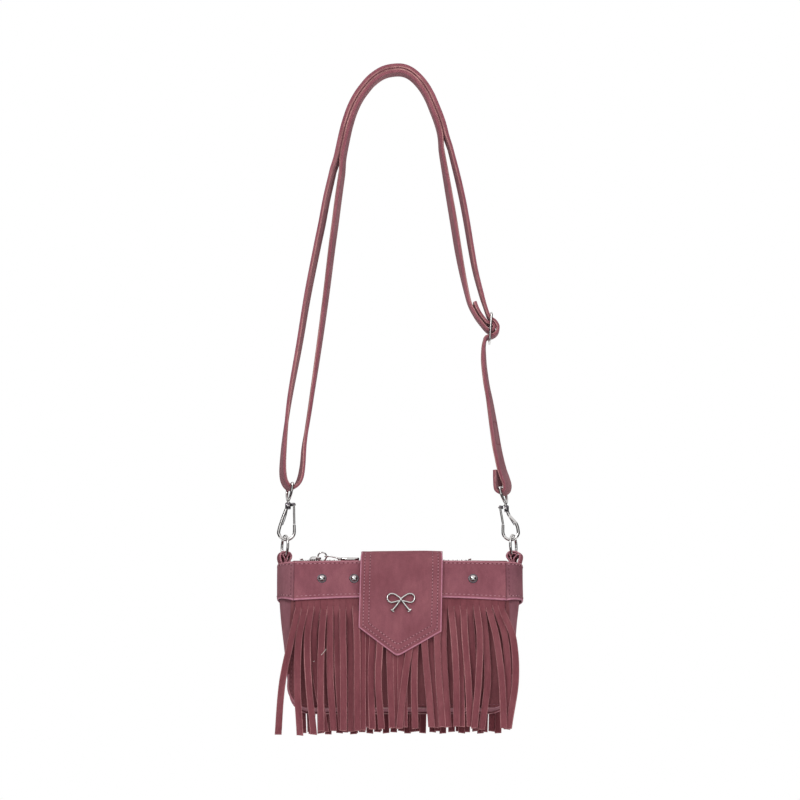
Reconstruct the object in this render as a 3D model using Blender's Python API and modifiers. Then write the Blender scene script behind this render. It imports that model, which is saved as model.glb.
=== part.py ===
# A small fringed suede crossbody bag, hanging by its doubled strap.
# The origin is under the strap's crown, X runs to the right, Y to the back and Z up.
import bpy
import bmesh
from math import atan2, cos, pi, radians, sin, sqrt, tan
from mathutils import Vector

MM = 0.001

# General clearance between pieces that touch
GAP = 0.3 * MM

# Pouch
POUCH_TOP = -401.0 * MM
POUCH_BOTTOM = -516.0 * MM
POUCH_HALF_WIDTH = 81.0 * MM
POUCH_FLARE = 4.0 * MM
TOP_HALF_DEPTH = 12.0 * MM
BOTTOM_HALF_DEPTH = 26.0 * MM
CORNER_RADIUS = 15.0 * MM
SEAM_EDGE = 2.2 * MM
SIDE_BULGE = 10.5 * MM
SUEDE = 1.2 * MM

# Bands round the top
BAND_HEIGHT = 30.0 * MM
BAND_HALF_LENGTH = 82.0 * MM
BAND_SUEDE = 1.3 * MM
SIDE_BAND_BULGE = 14.0 * MM

# Fringe
FRINGE_SUEDE = 1.1 * MM
FRINGE_TUCK = 6.0 * MM
FRINGE_ROOT = -439.0 * MM
FRINGE_END = -539.0 * MM
BACK_FRINGE_END = -532.0 * MM
STRIP_COUNT = 33
FRINGE_HALF_LENGTH = 81.0 * MM
SLIT = 0.5 * MM
LAYER_STEP = 1.5 * MM
TIP_RAGGED = 0.9 * MM
# The shares of a strip's length where its shape is given, the first just under the slit
STRIP_SHARES = (0.06, 0.25, 0.45, 0.65, 0.85, 1.0)
# Front strips from the left: the swing to the right a quarter of the way down, at six tenths and at the tip,
# and the layer, counted outwards from the pouch
FRONT_STRIPS = (
    (-4.8, -11.5, -14.4, 2), (-4.1, -4.9, -2.6, 3), (-2.5, -1.2, 2.9, 2), (-2.6, 0.0, 6.9, 0),
    (-2.3, -3.7, -2.0, 3), (1.0, 2.8, 6.6, 1), (0.7, 1.9, 4.6, 0), (0.4, 1.0, 1.0, 3),
    (1.2, 1.6, 1.8, 0), (1.3, 1.7, 1.9, 2), (0.6, 0.6, 1.0, 1), (-0.8, -2.0, -1.2, 0),
    (-1.2, -2.5, -1.5, 1), (-0.5, -1.9, 0.6, 2), (1.5, 2.5, 3.9, 1), (0.6, 1.4, 2.5, 0),
    (0.7, 0.7, 1.1, 1), (-0.8, -1.9, -1.5, 0), (-1.1, -6.1, -10.3, 2), (-2.5, -3.9, -3.2, 1),
    (-0.9, 1.5, 4.5, 2), (-0.8, 0.3, 3.0, 0), (-0.9, 0.2, 2.7, 2), (-1.1, 0.2, 2.6, 1),
    (2.0, 3.8, 3.9, 3), (0.8, 2.5, 2.9, 1), (0.8, 3.1, 4.5, 2), (1.2, 2.7, 4.2, 0),
    (2.4, 1.3, -2.2, 3), (2.1, 3.2, -1.4, 1), (5.1, 9.1, 10.4, 3), (6.9, 9.2, 8.0, 1),
    (8.3, 9.9, 4.2, 2),
)
# Back strips, seen from the front's left, the same way
BACK_STRIPS = (
    (0.4, 1.6, 3.0, 0), (0.6, 2.2, 4.0, 1), (0.0, 0.3, 0.0, 0), (0.3, 1.0, 2.0, 1), (0.2, 0.6, 1.0, 0),
    (-0.3, -1.0, -2.0, 1), (0.3, 1.0, 2.0, 0), (0.2, 0.6, 1.0, 1), (0.5, 1.6, 3.0, 0), (-0.2, -0.6, -1.0, 1),
    (0.0, 0.3, 0.0, 0), (0.2, 0.6, 1.0, 1), (0.3, 1.0, 2.0, 0), (-0.3, -1.0, -2.0, 1), (-0.2, -0.6, -1.0, 0),
    (0.0, 0.3, 0.0, 1), (0.2, 0.6, 1.0, 0), (0.2, 0.6, 1.0, 1), (0.0, -0.3, 0.0, 0), (-0.2, -0.6, -1.0, 1),
    (-0.3, -1.0, -2.0, 0), (0.2, 0.6, 1.0, 1), (0.0, 0.3, 0.0, 0), (-0.2, -0.6, -1.0, 1), (0.2, 0.6, 1.0, 0),
    (0.3, 1.0, 2.0, 1), (-0.2, -0.6, -1.0, 0), (-0.3, -1.0, -2.0, 1), (0.0, -0.3, 0.0, 0), (-0.2, -0.6, -1.0, 1),
    (-0.5, -1.6, -3.0, 0), (-0.3, -1.0, -2.0, 1), (-0.3, -1.0, -2.0, 0),
)

# Flap and its snap
FLAP_SUEDE = 1.3 * MM
FLAP_STAND_OFF = 6.6 * MM
FLAP_HALF_WIDTH = 32.0 * MM
FLAP_CENTRE = 1.5 * MM
FLAP_LEAN = 0.022
FLAP_SHOULDER = -453.5 * MM
FLAP_TIP = -476.8 * MM
HINGE_Y = 17.5 * MM
HINGE_Z = -389.0 * MM
TAIL_END = -425.0 * MM
# The fold over the mouth, from the hinge forward, as Y and Z
FLAP_FOLD = ((15.2, -389.2), (9.0, -389.7), (2.0, -390.6), (-5.0, -391.3), (-10.5, -392.3), (-14.6, -394.4),
             (-17.2, -397.6), (-18.5, -402.0))
SNAP_X = 0.8 * MM
SNAP_Z = -419.0 * MM
SNAP_RADIUS = 6.0 * MM
SNAP_BORE = 3.2 * MM
SNAP_NUB = 2.2 * MM

# Bow ornament
BOW_Z = -432.6 * MM
BOW_WIRE = 0.9 * MM
BOW_LOOP = 9.5 * MM
BOW_TAIL = 12.0 * MM

# Rivets
RIVET_X = (-60.5 * MM, -35.5 * MM, 30.5 * MM, 56.6 * MM)
RIVET_Z = -416.0 * MM
RIVET_RADIUS = 3.7 * MM
RIVET_DOME = 1.7 * MM

# Zip
ZIP_HALF_LENGTH = 79.0 * MM
ZIP_Z = -398.9 * MM
ZIP_TAPE = 0.9 * MM
ZIP_SLIT = 0.7 * MM
TOOTH_DEPTH = 2.0 * MM
TOOTH_PITCH = 4.8 * MM
TOOTH_WIDTH = 2.6 * MM
TOOTH_COUNT = 28
ZIP_LEFT_STOP = -77.0 * MM
ZIP_RIGHT_STOP = 54.5 * MM
STOP_LENGTH = 2.4 * MM
SLIDER_X = -66.3 * MM
SLIDER_LENGTH = 9.0 * MM
SLIDER_WIDTH = 7.2 * MM
SLIDER_PLATE = 0.8 * MM
EAR_X = -63.6 * MM
EAR_Y = -6.2 * MM
EAR_RADIUS = 2.2 * MM
EAR_BORE = 1.25 * MM

# Pull ring and bar
PULL_RING_RADIUS = 3.3 * MM
PULL_WIRE = 0.5 * MM
PULL_TILT = 25.0
PULL_Z = -396.5 * MM
LINK_RADIUS = 1.3 * MM
LINK_WIRE = 0.45 * MM
BAR_START = -46.5 * MM
BAR_END = -31.8 * MM
BAR_WIDTH = 3.2 * MM
BAR_THICKNESS = 1.2 * MM
BAR_Z = -399.9 * MM
BAR_Y = -8.6 * MM

# Strap
STRAP_WIDTH = 11.5 * MM
STRAP_THICKNESS = 2.6 * MM
STRAP_STEPS = 2

# Swivel clasps: a bow eye, a collar, a hook and a sprung gate, for the left and the right
EYE_WIRE = 1.1 * MM
EYE_HALF_WIDTH = 7.6 * MM
EYE_SHANK = 1.0 * MM
COLLAR_RADIUS = 2.3 * MM
COLLAR_HEIGHT = 5.4 * MM
COLLAR_BORE = 1.35 * MM
COLLAR_FOOT = 1.3 * MM
COLLAR_STRAIGHT = 0.5
SHANK_DEPTH = 3.2 * MM
HOOK_WIRE = 1.3 * MM
HOOK_BOTTOM = -383.3 * MM
HOOK_BEND = 6.4 * MM
GATE_WIDTH = 2.2 * MM
GATE_THICKNESS = 1.3 * MM
PIN_RADIUS = 0.6 * MM
PIN_BORE = 0.9 * MM
KNUCKLE = 1.5 * MM
CHEEK = 0.8 * MM
PIVOT_DROP = 1.6 * MM
PIVOT_REACH = 4.4 * MM

# O-rings and the tabs that hold them
RING_RADIUS = 7.95 * MM
RING_WIRE = 1.05 * MM
RING_TURN = 18.0
RING_HANG = 0.8 * MM
TAB_WIDTH = 8.0 * MM
TAB_SUEDE = 1.4 * MM
TAB_TUCK = 8.0 * MM

# Strap adjuster
ADJUSTER_TOP = Vector((72.7, 0.0, -200.3)) * MM
ADJUSTER_BAR = Vector((71.8, 0.0, -211.1)) * MM
ADJUSTER_FOOT = Vector((71.0, 0.0, -222.6)) * MM
ADJUSTER_WIRE = 1.05 * MM

# Middle line of the strap as X, Y, Z and turn in degrees, from the sewn end at the right clasp
STRAP_ROUTE = (
    (75.1, 2.0, -326.6, -22), (75.7, 1.9, -332.5, -22), (76.4, 1.5, -338.6, -22), (77.1, 1.2, -342.8, -22),
    (80.3, 0.0, -344.7, -22), (83.3, -1.2, -342.6, -22), (83.9, -1.4, -338.0, -22), (82.3, -0.9, -332.6, -23),
    (79.8, -0.2, -325.4, -24), (77.6, 0.0, -316.0, -22), (75.9, 0.0, -306.0, -18), (73.4, 0.0, -288.0, -13),
    (70.6, 0.0, -269.0, -9), (68.2, 0.0, -257.0, -7), (66.4, 0.0, -241.0, -4), (66.4, 0.0, -229.0, 0),
    (66.9, 0.0, -223.2, 0), (67.9, 0.0, -219.9, 0), (70.5, 0.0, -218.5, 0), (73.7, 0.0, -217.6, 0),
    (76.7, 0.0, -215.0, 0), (77.7, 0.0, -210.7, 0), (75.5, 0.0, -206.6, 0), (72.4, 0.0, -204.2, 0),
    (70.4, 0.0, -201.7, 0), (69.2, 0.0, -198.6, 0), (67.6, 0.0, -193.5, 0), (64.9, 0.0, -184.0, 2),
    (60.2, 0.0, -165.0, 6), (56.7, 0.0, -145.2, 9), (53.6, 0.0, -125.3, 10), (50.1, 0.0, -105.3, 10),
    (45.9, 0.0, -85.3, 9), (41.4, 0.0, -66.5, 7), (37.2, 0.0, -47.3, 5), (34.1, 0.0, -37.3, 4),
    (30.2, 0.0, -27.3, 3), (25.8, 0.0, -16.9, 2), (20.0, 0.0, -7.0, 1), (12.4, 0.0, 1.1, 0),
    (4.5, 0.0, 5.6, 0), (-4.0, 0.0, 6.6, 0), (-14.4, 0.0, 4.3, 0), (-24.0, 0.0, -2.4, -1),
    (-31.0, 0.0, -10.4, -2), (-36.2, 0.0, -18.2, -3), (-40.8, 0.0, -27.8, -5), (-44.3, 0.0, -38.0, -7),
    (-47.0, 0.0, -48.5, -9), (-50.6, 0.0, -66.0, -12), (-54.6, 0.0, -85.3, -14), (-58.9, 0.0, -105.3, -15),
    (-62.4, 0.0, -125.3, -15), (-66.3, 0.0, -145.2, -14), (-73.6, 0.0, -184.8, -12), (-79.7, 0.0, -224.2, -9),
    (-85.8, -0.5, -260.0, -4), (-88.6, -1.0, -280.0, 1), (-90.6, -1.6, -299.0, 8), (-91.9, -2.1, -317.0, 16),
    (-92.0, -2.1, -329.0, 20), (-90.4, -1.6, -336.6, 20), (-86.2, 0.0, -341.0, 20), (-82.2, 1.4, -338.4, 20),
    (-79.4, 2.4, -332.4, 19), (-77.3, 2.2, -322.0, 14), (-75.7, 1.4, -308.0, 8), (-74.2, 0.8, -297.0, 4),
    (-71.5, 0.3, -279.5, 1), (-68.8, 0.0, -260.0, -1), (-63.9, 0.0, -224.2, -6), (-58.9, 0.0, -184.8, -10),
    (-54.4, 0.0, -145.2, -13), (-51.9, 0.0, -125.3, -14), (-49.5, 0.0, -105.3, -14), (-47.1, 0.0, -87.0, -13),
    (-44.6, 0.0, -68.5, -11), (-41.3, 0.0, -50.5, -9), (-38.9, 0.0, -40.5, -7), (-35.8, 0.0, -30.5, -5),
    (-31.6, 0.0, -21.2, -3), (-26.9, 0.0, -14.0, -2), (-20.9, 0.0, -6.6, -1), (-12.6, 0.0, -0.9, 0),
    (-4.0, 0.0, 1.2, 0), (3.2, 0.0, 0.9, 0), (9.4, 0.0, -2.6, 0), (16.0, 0.0, -10.1, 1),
    (21.2, 0.0, -19.0, 2), (25.1, 0.0, -28.9, 3), (28.6, 0.0, -39.0, 4), (31.0, 0.0, -49.0, 5),
    (33.8, 0.0, -67.0, 7), (37.0, 0.0, -86.5, 9), (40.1, 0.0, -105.8, 10), (43.2, 0.0, -125.3, 10),
    (46.2, 0.0, -145.2, 9), (49.6, 0.0, -165.0, 6), (53.7, 0.0, -184.8, 2), (55.8, 0.0, -192.4, 0),
    (57.6, 0.0, -197.6, 0), (60.4, 0.0, -203.4, 0), (64.4, 0.0, -208.6, 0), (68.4, 0.0, -212.4, 0),
    (70.6, 0.0, -213.7, 0), (72.9, 0.0, -213.7, 0), (74.6, 0.0, -211.5, 0), (73.6, 0.0, -208.8, 0),
    (71.2, 0.0, -208.2, 0), (68.6, 0.0, -207.5, 0), (65.8, 0.0, -204.2, 0), (63.2, 0.0, -200.4, 0),
    (60.9, 0.0, -195.6, 0), (59.2, 0.0, -190.6, 0),
)

COLOURS = {
    "suede": ((0.27, 0.085, 0.115), 0.9, 0.0),
    "fringe": ((0.22, 0.055, 0.08), 0.92, 0.0),
    "tape": ((0.2, 0.06, 0.08), 0.85, 0.0),
    "nickel": ((0.72, 0.71, 0.70), 0.18, 1.0),
}


def new_collection(name):
    collection = bpy.data.collections.new(name)
    bpy.context.scene.collection.children.link(collection)
    return collection


for old in list(bpy.data.objects):
    bpy.data.objects.remove(old)
PARTS = new_collection("fringed_suede_bag")
CUTTERS = new_collection("cutters")


def set_material(item, kind):
    colour, rough, metal = COLOURS[kind]
    material = bpy.data.materials.new(item.name)
    material.use_nodes = True
    shader = material.node_tree.nodes["Principled BSDF"]
    shader.inputs["Base Color"].default_value = (*colour, 1.0)
    shader.inputs["Roughness"].default_value = rough
    shader.inputs["Metallic"].default_value = metal
    item.data.materials.clear()
    item.data.materials.append(material)


def add_mesh(name, bm, kind):
    mesh = bpy.data.meshes.new(name)
    bm.to_mesh(mesh)
    bm.free()
    item = bpy.data.objects.new(name, mesh)
    PARTS.objects.link(item)
    set_material(item, kind)
    return item


def to_cutters(item):
    for owner in list(item.users_collection):
        owner.objects.unlink(item)
    CUTTERS.objects.link(item)
    item.hide_render = True
    item.display_type = "WIRE"


def boolean(item, other, operation):
    to_cutters(other)
    modifier = item.modifiers.new(operation.title(), "BOOLEAN")
    modifier.operation = operation
    modifier.object = other


def solidify(item, thickness):
    modifier = item.modifiers.new("Thickness", "SOLIDIFY")
    modifier.thickness = thickness
    modifier.offset = 0.0
    modifier.use_even_offset = True
    return item


def smooth(item, angle=35.0):
    item.data.shade_smooth()
    item.data.set_sharp_from_angle(angle=radians(angle))


def sheet(name, rows, thickness, kind):
    """A soft sheet over a grid of points."""
    bm = bmesh.new()
    grid = [[bm.verts.new(point) for point in row] for row in rows]
    for upper, lower in zip(grid, grid[1:]):
        for a, b, c, d in zip(upper, upper[1:], lower[1:], lower):
            bm.faces.new((a, b, c, d))
    item = solidify(add_mesh(name, bm, kind), thickness)
    smooth(item)
    return item


def comb(name, header, roots, strips, thickness, kind):
    """A header whose lower edge carries strips, cut apart by slits."""
    bm = bmesh.new()
    top = [bm.verts.new(point) for point in header]
    low = [bm.verts.new(point) for point in roots]
    for a, b, c, d in zip(top, top[1:], low[1:], low):
        bm.faces.new((a, b, c, d))
    for i, strip in enumerate(strips):
        left, right = low[2 * i], low[2 * i + 1]
        for point_left, point_right in strip:
            new_left, new_right = bm.verts.new(point_left), bm.verts.new(point_right)
            bm.faces.new((left, right, new_right, new_left))
            left, right = new_left, new_right
    return solidify(add_mesh(name, bm, kind), thickness)


def box(name, centre, size, kind, turn=None, edge=0.0):
    bm = bmesh.new()
    bmesh.ops.create_cube(bm, size=1.0)
    bmesh.ops.scale(bm, vec=size, verts=bm.verts)
    item = add_mesh(name, bm, kind)
    item.location = centre
    if turn:
        item.rotation_euler = turn
    if edge:
        modifier = item.modifiers.new("Edges", "BEVEL")
        modifier.width = edge
        modifier.segments = 1
    return item


def cylinder(name, centre, radius, depth, kind, turn=(0.0, 0.0, 0.0), sides=16):
    bm = bmesh.new()
    bmesh.ops.create_cone(bm, cap_ends=True, segments=sides, radius1=radius, radius2=radius, depth=depth)
    item = add_mesh(name, bm, kind)
    item.location = centre
    item.rotation_euler = turn
    smooth(item)
    return item


def torus(name, centre, radius, wire, turn, kind, around=24, across=8):
    bpy.ops.mesh.primitive_torus_add(major_radius=radius, minor_radius=wire, major_segments=around,
                                     minor_segments=across, location=centre, rotation=turn)
    item = bpy.context.active_object
    for owner in list(item.users_collection):
        owner.objects.unlink(item)
    PARTS.objects.link(item)
    item.name = name
    set_material(item, kind)
    smooth(item, 60.0)
    return item


def tube(name, points, radius, kind, cyclic=False, resolution=2):
    """A round wire through points, as a closed mesh."""
    curve = bpy.data.curves.new(name, "CURVE")
    curve.dimensions = "3D"
    curve.bevel_depth = radius
    curve.bevel_resolution = resolution
    curve.use_fill_caps = not cyclic
    curve.render_resolution_u = 0
    spline = curve.splines.new("POLY")
    spline.points.add(len(points) - 1)
    spline.use_cyclic_u = cyclic
    for slot, point in zip(spline.points, points):
        slot.co = (*point, 1.0)
    wire = bpy.data.objects.new(name + "_wire", curve)
    PARTS.objects.link(wire)
    bpy.context.view_layer.update()
    mesh = bpy.data.meshes.new_from_object(wire.evaluated_get(bpy.context.evaluated_depsgraph_get()))
    item = bpy.data.objects.new(name, mesh)
    item.matrix_world = wire.matrix_world
    bpy.data.objects.remove(wire)
    bm = bmesh.new()
    bm.from_mesh(mesh)
    bmesh.ops.remove_doubles(bm, verts=bm.verts, dist=0.01 * MM)
    bmesh.ops.recalc_face_normals(bm, faces=bm.faces)
    bm.to_mesh(mesh)
    bm.free()
    PARTS.objects.link(item)
    set_material(item, kind)
    smooth(item, 50.0)
    return item


def turned(name, profile, kind, steps=16):
    """A solid of revolution about Z, its profile running from the top down."""
    bm = bmesh.new()
    points = [bm.verts.new((radius, 0.0, height)) for radius, height in profile]
    for a, b in zip(points, points[1:]):
        bm.edges.new((a, b))
    item = add_mesh(name, bm, kind)
    screw = item.modifiers.new("Turn", "SCREW")
    screw.steps = steps
    screw.render_steps = steps
    screw.use_merge_vertices = True
    screw.merge_threshold = 0.01 * MM
    return item


def drop_share(z):
    return min(max((POUCH_TOP - z) / (POUCH_TOP - POUCH_BOTTOM), 0.0), 1.0)


def half_depth(z):
    return TOP_HALF_DEPTH + (BOTTOM_HALF_DEPTH - TOP_HALF_DEPTH) * sin(drop_share(z) * pi / 2)


def seam_half_width(z):
    return POUCH_HALF_WIDTH + POUCH_FLARE * drop_share(z)


def outline(edge, straight=8, corner=5):
    """Half widths and heights down the pouch's side and round its bottom corner."""
    radius = CORNER_RADIUS + edge
    centre_z = POUCH_BOTTOM + CORNER_RADIUS
    points = []
    for i in range(straight):
        z = POUCH_TOP + (centre_z - POUCH_TOP) * i / straight
        points.append((seam_half_width(z) + edge, z))
    corner_x = seam_half_width(centre_z) + edge - radius
    for i in range(corner + 1):
        turn = i / corner * pi / 2
        points.append((corner_x + radius * cos(turn), centre_z - radius * sin(turn)))
    return points


def make_panel(name, side, columns=6):
    rows = []
    for half_width, z in outline(SEAM_EDGE):
        y = side * half_depth(z)
        rows.append([(half_width * (2 * i / columns - 1), y, z) for i in range(columns + 1)])
    return sheet(name, rows, SUEDE, "suede")


def make_gusset(name, across=4, bottom=6):
    side = outline(0.0)
    corner_x = side[-1][0]
    path = [(-x, z) for x, z in side]
    path += [(corner_x * (2 * i / bottom - 1), POUCH_BOTTOM) for i in range(1, bottom)]
    path += reversed(side)
    rows = []
    for x, z in path:
        reach = half_depth(z) - SUEDE - GAP
        bulge = SIDE_BULGE * (1.0 - drop_share(z))
        outward = 1.0 if x > 0 else -1.0
        row = []
        for i in range(across + 1):
            v = 2 * i / across - 1
            row.append((x + outward * bulge * (1 - v * v), v * reach, z))
        rows.append(row)
    return sheet(name, rows, SUEDE, "suede")


def band_offset():
    return SUEDE / 2 + GAP + FRINGE_SUEDE + GAP + BAND_SUEDE / 2


def make_band(name, side, rows=3, columns=8):
    grid = []
    for j in range(rows + 1):
        z = POUCH_TOP - BAND_HEIGHT * j / rows
        y = side * (half_depth(z) + band_offset())
        grid.append([(BAND_HALF_LENGTH * (2 * i / columns - 1), y, z) for i in range(columns + 1)])
    return sheet(name, grid, BAND_SUEDE, "suede")


def make_side_band(name, side, rows=3, columns=12):
    start = BAND_HALF_LENGTH + GAP
    grid = []
    for j in range(rows + 1):
        z = POUCH_TOP - BAND_HEIGHT * j / rows
        reach = half_depth(z) + band_offset()
        row = []
        for i in range(columns + 1):
            turn = pi * i / columns
            row.append((side * (start + SIDE_BAND_BULGE * sin(turn)), -reach * cos(turn), z))
        grid.append(row)
    return sheet(name, grid, BAND_SUEDE, "suede")


def swing(strip, share):
    """How far a strip has swung at this share of its length, through the three values given for it."""
    marks = ((0.0, 0.0), (0.25, strip[0]), (0.6, strip[1]), (1.0, strip[2]))
    for (low, start), (high, end) in zip(marks, marks[1:]):
        if share <= high:
            return start + (end - start) * (share - low) / (high - low)
    return strip[2]


def make_fringe(name, side, strips_given, end):
    pitch = (2 * FRINGE_HALF_LENGTH + SLIT) / STRIP_COUNT
    offset = SUEDE / 2 + GAP + FRINGE_SUEDE / 2
    head_z = POUCH_TOP - BAND_HEIGHT + FRINGE_TUCK
    edges = []
    for i in range(STRIP_COUNT):
        left = -FRINGE_HALF_LENGTH + i * pitch
        edges += [left, left + pitch - SLIT]
    header = [(x, side * (half_depth(head_z) + offset), head_z) for x in edges]
    roots = [(x, side * (half_depth(FRINGE_ROOT) + offset), FRINGE_ROOT) for x in edges]
    strips = []
    for i, given in enumerate(strips_given):
        tip = end + TIP_RAGGED * sin(i * 2.1)
        strip = []
        for share in STRIP_SHARES:
            z = FRINGE_ROOT + (tip - FRINGE_ROOT) * share
            shift = 0.0 if share == STRIP_SHARES[0] else swing(given, share) * MM
            y = side * (half_depth(z) + offset + given[3] * LAYER_STEP)
            strip.append(((edges[2 * i] + shift, y, z), (edges[2 * i + 1] + shift, y, z)))
        strips.append(strip)
    return comb(name, header, roots, strips, FRINGE_SUEDE, "fringe")


def make_flap():
    profile = [(y * MM, z * MM) for y, z in FLAP_FOLD]
    for z in (-408.0 * MM, -416.0 * MM, -425.0 * MM, -436.0 * MM, -446.0 * MM, FLAP_SHOULDER):
        profile.append((-(half_depth(z) + FLAP_STAND_OFF), z))
    columns = 8
    rows = []
    for y, z in profile:
        centre = FLAP_CENTRE + FLAP_LEAN * (z - FLAP_FOLD[0][1] * MM)
        rows.append([(centre + FLAP_HALF_WIDTH * (2 * i / columns - 1), y, z) for i in range(columns + 1)])
    # The point at the bottom, each column ending on the two slanting edges
    for share in (0.5, 1.0):
        row = []
        for i in range(columns + 1):
            u = 2 * i / columns - 1
            z = FLAP_SHOULDER + (FLAP_TIP - FLAP_SHOULDER) * share * (1.02 - abs(u))
            centre = FLAP_CENTRE + FLAP_LEAN * (z - FLAP_FOLD[0][1] * MM)
            row.append((centre + FLAP_HALF_WIDTH * u, -(half_depth(z) + FLAP_STAND_OFF), z))
        rows.append(row)
    return sheet("flap", rows, FLAP_SUEDE, "suede")


def make_flap_tail():
    stand_off = band_offset() + BAND_SUEDE / 2 + GAP + FLAP_SUEDE / 2
    rows = []
    hinge_gap = 0.5 * MM
    for y, z in ((HINGE_Y - 0.6 * MM, HINGE_Z - hinge_gap), (HINGE_Y, HINGE_Z - 3.5 * MM),
                 (half_depth(POUCH_TOP) + stand_off, POUCH_TOP), (half_depth(TAIL_END) + stand_off, TAIL_END)):
        rows.append([(FLAP_CENTRE + FLAP_HALF_WIDTH * (2 * i / 4 - 1), y, z) for i in range(5)])
    return sheet("flap_tail", rows, FLAP_SUEDE, "suede")


def front_face(z, offset):
    return -(half_depth(z) + offset)


def face_turn(z):
    """The tilt that lays a disc's axis square to the front's slope."""
    step = 1.0 * MM
    slope = (half_depth(z - step) - half_depth(z + step)) / (2 * step)
    return (radians(90.0) - slope, 0.0, 0.0)


def make_snap():
    socket_face = band_offset() + BAND_SUEDE / 2 + GAP
    socket = cylinder("snap_socket", (SNAP_X, front_face(SNAP_Z, socket_face + 0.45 * MM), SNAP_Z), SNAP_RADIUS,
                      0.9 * MM, "nickel", face_turn(SNAP_Z), 24)
    bore = cylinder("snap_bore", socket.location, SNAP_BORE, 4.0 * MM, "nickel", face_turn(SNAP_Z), 16)
    boolean(socket, bore, "DIFFERENCE")
    flap_inner = FLAP_STAND_OFF - FLAP_SUEDE / 2 - GAP
    plate = 0.5 * MM
    nub = 1.4 * MM
    stud = cylinder("snap_stud", (SNAP_X, front_face(SNAP_Z, flap_inner - plate / 2), SNAP_Z),
                    SNAP_RADIUS - 1.0 * MM, plate, "nickel", face_turn(SNAP_Z), 20)
    tip = cylinder("snap_nub", (SNAP_X, front_face(SNAP_Z, flap_inner - nub / 2 - 0.05 * MM), SNAP_Z), SNAP_NUB, nub,
                   "nickel", face_turn(SNAP_Z), 12)
    boolean(stud, tip, "UNION")


def make_bow():
    """A wire bow of two teardrop loops and two tails, lying along the flap's slope."""
    stand = FLAP_STAND_OFF + FLAP_SUEDE / 2 + GAP + BOW_WIRE

    def place(x, drop):
        z = BOW_Z + drop
        return Vector((SNAP_X + x, front_face(z, stand), z))

    knot = box("bow", place(0.0, 0.0), (2.6 * MM, 2 * BOW_WIRE, 3.0 * MM), "nickel",
               (face_turn(BOW_Z)[0] - radians(90.0), 0.0, 0.0), 0.4 * MM)
    for side in (-1.0, 1.0):
        loop = [place(0.0, 0.8 * MM)]
        for i in range(2, 13):
            turn = 2 * pi * i / 14
            reach = (1 - cos(turn)) / 2
            height = BOW_LOOP * (0.4 * sin(turn) * sqrt(reach) + 0.2 * reach)
            loop.append(place(side * (0.9 * MM + BOW_LOOP * reach), height))
        loop.append(place(0.0, -0.8 * MM))
        boolean(knot, tube(f"bow_loop_{side:+.0f}", loop, BOW_WIRE * 0.8, "nickel", False, 1), "UNION")
        tail = [place(side * BOW_TAIL * share * 0.62, -BOW_TAIL * share * (1.15 - 0.3 * share))
                for share in (0.02, 0.35, 0.7, 1.0)]
        boolean(knot, tube(f"bow_tail_{side:+.0f}", tail, BOW_WIRE * 0.8, "nickel", False, 1), "UNION")


def make_rivets():
    base = band_offset() + BAND_SUEDE / 2 + GAP
    for i, x in enumerate(RIVET_X):
        profile = [(0.0, RIVET_DOME)]
        profile += [(RIVET_RADIUS * sin(a), RIVET_DOME * cos(a)) for a in (0.4, 0.8, 1.2)]
        profile += [(RIVET_RADIUS, 0.0), (0.0, 0.0)]
        rivet = turned(f"rivet_{i + 1}", profile, "nickel")
        rivet.location = (x, front_face(RIVET_Z, base), RIVET_Z)
        rivet.rotation_euler = face_turn(RIVET_Z)


def tape_lip():
    return TOP_HALF_DEPTH - SUEDE / 2 - GAP - ZIP_TAPE / 4


def tape_height(y):
    """The tapes rise from the pouch's lips to the teeth."""
    share = abs(y) / tape_lip()
    return ZIP_Z - (ZIP_Z - POUCH_TOP + 1.6 * MM) * share ** 1.2


def make_zip_tape(name, side):
    lip = tape_lip()
    tooth_root = ZIP_SLIT + TOOTH_DEPTH
    teeth_length = (TOOTH_COUNT - 1) * TOOTH_PITCH + TOOTH_WIDTH
    first = (ZIP_LEFT_STOP + ZIP_RIGHT_STOP - teeth_length) / 2
    margin = (TOOTH_PITCH - TOOTH_WIDTH) / 3
    edges = [-ZIP_HALF_LENGTH, first - margin]
    for i in range(TOOTH_COUNT):
        left = first + i * TOOTH_PITCH
        edges += [left, left + TOOTH_WIDTH]
    edges += [edges[-1] + margin, ZIP_HALF_LENGTH]
    header = [(x, side * lip, tape_height(lip)) for x in edges]
    roots = [(x, side * tooth_root, tape_height(tooth_root)) for x in edges]
    strips = [[]]
    for i in range(1, TOOTH_COUNT + 1):
        strips.append([((edges[2 * i], side * ZIP_SLIT, ZIP_Z), (edges[2 * i + 1], side * ZIP_SLIT, ZIP_Z))])
    strips.append([])
    return comb(name, header, roots, strips, ZIP_TAPE, "tape")


def make_stops():
    for name, x in (("left_zip_stop", ZIP_LEFT_STOP), ("right_zip_stop", ZIP_RIGHT_STOP)):
        top = ZIP_Z + ZIP_TAPE / 2 + GAP + 0.5 * MM
        box(name, (x, 0.0, top), (STOP_LENGTH, 2 * (ZIP_SLIT + TOOTH_DEPTH), 1.0 * MM), "nickel", edge=0.2 * MM)


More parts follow.
